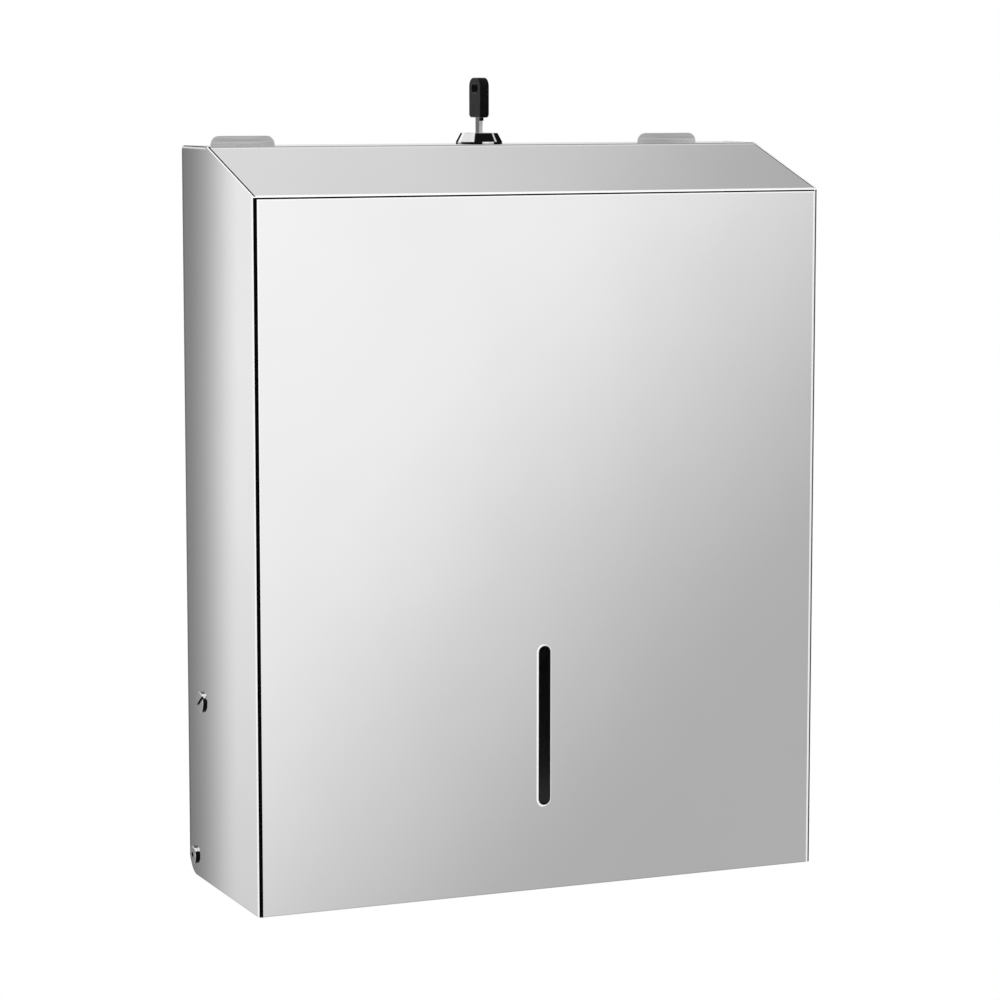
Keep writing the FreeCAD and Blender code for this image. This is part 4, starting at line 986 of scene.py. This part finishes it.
@dataclass
class Studio:
    """A white studio: soft surroundings, one near card, a pale floor and a lamp.

    Bearings are in degrees from straight ahead of the cover (-Y) towards the
    right (+X), and heights in degrees above the horizon.
    """

    lean: float = 0.81
    lean_limit: float = 20.0
    span: float = 200.0
    ring: tuple[Pair, ...] = (
        (-180, 0.78), (-163, 0.78), (-148, 0.95), (-128, 0.6), (-116, 0.42), (-100, 0.48), (-76, 0.92),
        (-60, 0.6), (-46, 0.78), (-30, 0.93), (-12, 0.55), (2, 0.72), (13, 0.96), (20, 0.975),
        (24.5, 0.93), (27.2, 0.89), (30, 0.715), (31.6, 0.62), (34.1, 0.487), (36, 0.458),
        (40.5, 0.462), (62, 0.75), (82, 0.92), (102, 0.5), (126, 0.42), (130.6, 0.447), (132.2, 0.52),
        (134.5, 0.62), (137.7, 0.709), (141, 0.738), (161, 0.77), (180, 0.78),
    )
    back_bearings: tuple[Pair, Pair] = ((149.0, 152.0), (163.0, 166.0))
    back_heights: tuple[Pair, Pair] = ((3.0, 8.0), (24.0, 29.0))
    back_lift: float = 1.6
    sunk_heights: Pair = (-45.0, -13.0)
    below: float = 0.62
    ceiling_heights: Pair = (40.0, 70.0)
    ceiling_ends: Pair = (-0.5, 0.5)
    ceiling: Pair = (0.7, 0.98)
    fill: float = 0.92
    floor_tone: Colour = (0.6, 0.6, 0.6)
    floor_drop: float = 1.3
    floor_radius: float = 1.2
    floor_steps: int = 96
    lamp_place: Point = (-0.8, -1.0, 1.5)
    lamp_size: Pair = (1.6, 1.2)
    lamp_watts: float = 9.0

    def mirrored(self, graph: Graph) -> Socket:
        """Grade the surroundings that mirrors show, by bearing and height.

        Args:
            graph: The world's nodes.

        Returns:
            The colour in the direction looked at.
        """
        x, y, z = graph.coordinates("Generated")
        bearing = graph.bearing(x, graph.every(y, -1.0))
        height = graph.maths("DEGREES", graph.maths("ARCSINE", z))
        low = graph.maths("MINIMUM", graph.most(height, -self.lean_limit), self.lean_limit)
        leaning = graph.minus(bearing, graph.every(low, self.lean))
        along = graph.maths("DIVIDE", graph.maths("ADD", leaning, self.span), 2 * self.span)
        round_about = graph.ramp(along, self.ring, (-self.span, self.span))
        behind, band = (
            graph.every(graph.scaled(value, *rising), graph.scaled(value, *falling, 1.0, 0.0))
            for value, (rising, falling) in ((bearing, self.back_bearings), (height, self.back_heights))
        )
        lift = graph.scaled(graph.every(band, behind), 0.0, 1.0, 1.0, self.back_lift)
        sunk = graph.scaled(height, *self.sunk_heights, self.below, 1.0)
        shaded = graph.dimmed(round_about, graph.every(lift, sunk))
        roof = graph.scaled(x, *self.ceiling_ends, *self.ceiling)
        return graph.over(graph.scaled(height, *self.ceiling_heights), shaded, roof)

    def surround(self) -> None:
        """Make the world: white to the camera, graded in reflections, plain for the rest."""
        world = bpy.data.worlds.new("studio")
        bpy.context.scene.world = world
        world.use_nodes = True
        graph = Graph(world.node_tree)
        graded = graph.add("Background", {"Color": self.mirrored(graph), "Strength": 1.0}).outputs[0]
        plain = graph.add("Background", {"Color": WHITE, "Strength": self.fill}).outputs[0]
        white = graph.add("Background", {"Color": WHITE, "Strength": 1.0}).outputs[0]
        glossy = graph.add("LightPath").outputs["Is Glossy Ray"]
        lit = graph.add("MixShader", {0: glossy, 1: plain, 2: graded}).outputs[0]
        whole = graph.add("MixShader", {0: graph.seen(), 1: lit, 2: white}).outputs[0]
        graph.add("OutputWorld", {"Surface": whole})

    def floor(self) -> None:
        """Lay a pale round floor well below the object."""
        shape = bmesh.new()
        bmesh.ops.create_circle(shape, cap_ends=True, segments=self.floor_steps, radius=self.floor_radius)
        mesh = finished("floor", shape)
        floor = new_object("floor", mesh)
        floor.location = (0.0, 0.0, -self.floor_drop)
        material, graph = new_material("pale_floor")
        matt = graph.add("BsdfDiffuse", {"Color": (*self.floor_tone, 1.0)}).outputs[0]
        glow = graph.add("Emission", {"Color": WHITE, "Strength": 1.0}).outputs[0]
        both = graph.add("MixShader", {0: graph.seen(), 1: matt, 2: glow}).outputs[0]
        graph.add("OutputMaterial", {"Surface": both})
        mesh.materials.append(material)

    def lamp(self) -> None:
        """Hang one broad soft lamp above and in front, which mirrors don't show."""
        data = bpy.data.lights.new("softbox", "AREA")
        data.shape = "RECTANGLE"
        data.size, data.size_y = self.lamp_size
        data.energy = self.lamp_watts
        lamp = new_object("softbox", data)
        lamp.location = self.lamp_place
        lamp.rotation_euler = (-lamp.location).to_track_quat("-Z", "Y").to_euler()
        lamp.visible_glossy = False
        lamp.visible_camera = False

    def set_up(self) -> None:
        """Make the surroundings, the card, the floor and the lamp, at plain exposure."""
        bpy.context.scene.view_settings.view_transform = "Standard"
        self.surround()
        SIDE_CARD.hang()
        self.floor()
        self.lamp()


def add_piece(
    name: str, mesh: bpy.types.Mesh, body: Body, finish: Finish, smooth: bool = True
) -> bpy.types.Object:
    """Put a new piece in the scene and let it ride on its body.

    Args:
        name: The piece's name.
        mesh: Its mesh, in the model's frame.
        body: The body that it moves with.
        finish: Its finish.
        smooth: Whether its faces are shaded smooth.

    Returns:
        The new piece.
    """
    piece = new_object(name, mesh)
    mesh.materials.append(finish.material())
    mesh.polygons.foreach_set("use_smooth", [smooth] * len(mesh.polygons))
    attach(piece, body.value)
    LOG.info("%s: %s", name, finish.name)
    return piece


def lofted(name: str, skins: Sequence[Sequence[Ring]], foot: bool = True) -> bpy.types.Mesh:
    """Join each row of like-numbered rings into a skin with a capped end.

    Args:
        name: The mesh's name.
        skins: The rows of rings, each ring a closed loop of points.
        foot: Whether the first ring is capped as well as the last.

    Returns:
        The mesh.
    """
    shape = bmesh.new()
    for rings in skins:
        rows = [[shape.verts.new(point) for point in ring] for ring in rings]
        for first, second in zip(rows, rows[1:]):
            for i in range(len(first)):
                j = (i + 1) % len(first)
                shape.faces.new((first[i], first[j], second[j], second[i]))
        if foot:
            shape.faces.new(rows[0][::-1])
        shape.faces.new(rows[-1])
    bmesh.ops.recalc_face_normals(shape, faces=shape.faces)
    return finished(name, shape)


def around(steps: int) -> list[Pair]:
    """Give the points of a circle of radius 1."""
    turns = [2 * math.pi * step / steps for step in range(steps)]
    return [(math.cos(turn), math.sin(turn)) for turn in turns]


@dataclass
class SubAssembly:
    """Pieces that are dressed together."""

    finishes: dict[str, Finish] = field(default_factory=dict)

    def dress(self) -> None:
        """Give each carried-over solid its finish, then build the fine pieces."""
        for name, finish in self.finishes.items():
            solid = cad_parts[name]
            for slot in solid.material_slots:
                slot.material = finish.material()
            LOG.info("%s: %s", name, finish.name)
        self.build()

    def build(self) -> None:
        """Build the sub-assembly's fine pieces, where it has any."""


@dataclass
class Cover(SubAssembly):
    """The folded sheet cover with its stop screws."""

    finishes: dict[str, Finish] = field(default_factory=lambda: {
        "cover_shell": MIRROR_STEEL,
        "left_stop_screw": SCREW_STEEL, "right_stop_screw": SCREW_STEEL,
        "left_stop_bush": NYLON, "right_stop_bush": NYLON,
        "left_stop_nut": ZINC_PLATE, "right_stop_nut": ZINC_PLATE,
    })
    edge_across: float = 0.137
    edge_line: tuple[Pair, ...] = ((-0.0045, 0.167), (-0.0365, 0.167), (-0.0976, 0.147467))
    edge_radius: float = 0.0005
    edge_sunk: float = 0.0003
    edge_steps: int = 16

    def build(self) -> None:
        """Dress the upper side edges with a fine rounded bead."""
        last = len(self.edge_line) - 1
        for side, word in ((-1, "left"), (1, "right")):
            rings = []
            for index, (y, z) in enumerate(self.edge_line):
                before = self.edge_line[max(index - 1, 0)]
                after = self.edge_line[min(index + 1, last)]
                along = Vector((after[0] - before[0], after[1] - before[1])).normalized()
                up = Vector((along.y, -along.x))
                ring = []
                for out, over in around(self.edge_steps):
                    across = side * (self.edge_across + self.edge_radius * out)
                    rise = self.edge_radius * over - self.edge_sunk
                    ring.append((across, y + up.x * rise, z + up.y * rise))
                rings.append(ring)
            name = word + "_edge_bead"
            add_piece(name, lofted(name, [rings]), Body.COVER, BEAD_STEEL)


@dataclass
class WallFrame(SubAssembly):
    """The back plate, tray, side brackets, keeper and pivots."""

    finishes: dict[str, Finish] = field(default_factory=lambda: {
        "back_plate": BACK_STEEL, "towel_tray": SHADED_INNER_STEEL, "latch_keeper": SATIN_STEEL,
        "left_bracket": SATIN_STEEL, "right_bracket": SATIN_STEEL,
        "left_pivot_rivet": RIVET_STEEL, "right_pivot_rivet": RIVET_STEEL,
        "left_pivot_washer": NYLON, "right_pivot_washer": NYLON,
    })
    flange_face: float = -0.0024
    foot_face: float = -0.0027
    foot_welds: tuple[Pair, ...] = ((0.017, 0.132), (0.027, 0.132))
    weld_radius: float = 0.0026
    weld_profile: tuple[Pair, ...] = (
        (1.0, -0.00006), (0.94, 0.0001), (0.8, 0.00018), (0.6, 0.00008), (0.3, 0.00003), (0.02, 0.00002),
    )
    weld_steps: int = 32

    def build(self) -> None:
        """Lay the spot welds on the bracket flanges and the keeper's foot."""
        spots = [(side * x, self.flange_face, z) for side in (-1, 1) for x, z in FLANGE_WELDS]
        spots += [(x, self.foot_face, z) for x, z in self.foot_welds]
        circle = around(self.weld_steps)
        welds = []
        for x, face, z in spots:
            rows = [(self.weld_radius * share, face - proud) for share, proud in self.weld_profile]
            welds.append([[(x + reach * out, y, z + reach * up) for out, up in circle] for reach, y in rows])
        mesh = lofted("spot_welds", welds, foot=False)
        add_piece("spot_welds", mesh, Body.FRAME, WELD_STEEL)


@dataclass
class CamLock(SubAssembly):
    """The lock housing, its nut and washer, and the plug with its wafers and cam."""

    finishes: dict[str, Finish] = field(default_factory=lambda: {
        "lock_housing": BANDED_CHROME, "lock_plug": CHROME,
        "lock_nut": ZINC_PLATE, "lock_washer": ZINC_PLATE,
        "lock_wafers": BRASS, "wafer_springs": SPRING_STEEL,
        "lock_cam": ZINC_PLATE, "cam_washer": ZINC_PLATE, "cam_screw": ZINC_PLATE,
    })
    axis: float = -0.0235
    barrel: float = 0.008
    flat: float = 0.007
    thread_low: float = 0.1475
    thread_high: float = 0.1612
    pitch: float = 0.001
    crest: float = 0.00022
    crest_half: float = 0.00008
    crest_least: float = 0.1
    run_out: float = 0.0004
    root: float = 0.00012
    root_half: float = 0.00038
    turn_steps: int = 72

    def build(self) -> None:
        """Cut the barrel's thread as a fine ridge that stops at the two flats."""
        steps = int((self.thread_high - self.thread_low) / self.pitch * self.turn_steps)
        rings = []
        for step in range(steps + 1):
            turn = 2 * math.pi * step / self.turn_steps
            height = self.thread_low + self.pitch * step / self.turn_steps
            flat = self.flat / max(abs(math.cos(turn)), 1e-6)
            cut_off = min(1.0, max(0.0, (flat - self.barrel) / self.run_out + self.crest_least))
            base = min(self.barrel, flat) - self.root
            peak = base + self.root + self.crest * cut_off
            profile = ((base, -self.root_half), (peak, -self.crest_half))
            profile += ((peak, self.crest_half), (base, self.root_half))
            rings.append([
                (reach * math.cos(turn), self.axis + reach * math.sin(turn), height + rise)
                for reach, rise in profile
            ])
        mesh = lofted("barrel_thread", [rings])
        add_piece("barrel_thread", mesh, Body.COVER, CHROME, smooth=False)


@dataclass
class Key(SubAssembly):
    """The steel blade and its moulded bow."""

    finishes: dict[str, Finish] = field(
        default_factory=lambda: {"key_blade": KEY_STEEL, "key_head": KEY_PLASTIC})

    def build(self) -> None:
        """Keep the key and the lock's head out of the sheet's mirror, as in the photograph."""
        for name in (*self.finishes, "lock_housing", "lock_plug"):
            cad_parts[name].visible_glossy = False


def main() -> None:
    """Set up the studio and dress each sub-assembly in turn."""
    logging.basicConfig(level=logging.INFO, format="%(message)s")
    View().set_up()
    Studio().set_up()
    for part in (WallFrame(), Cover(), CamLock(), Key()):
        part.dress()


if __name__ == "__main__":
    main()
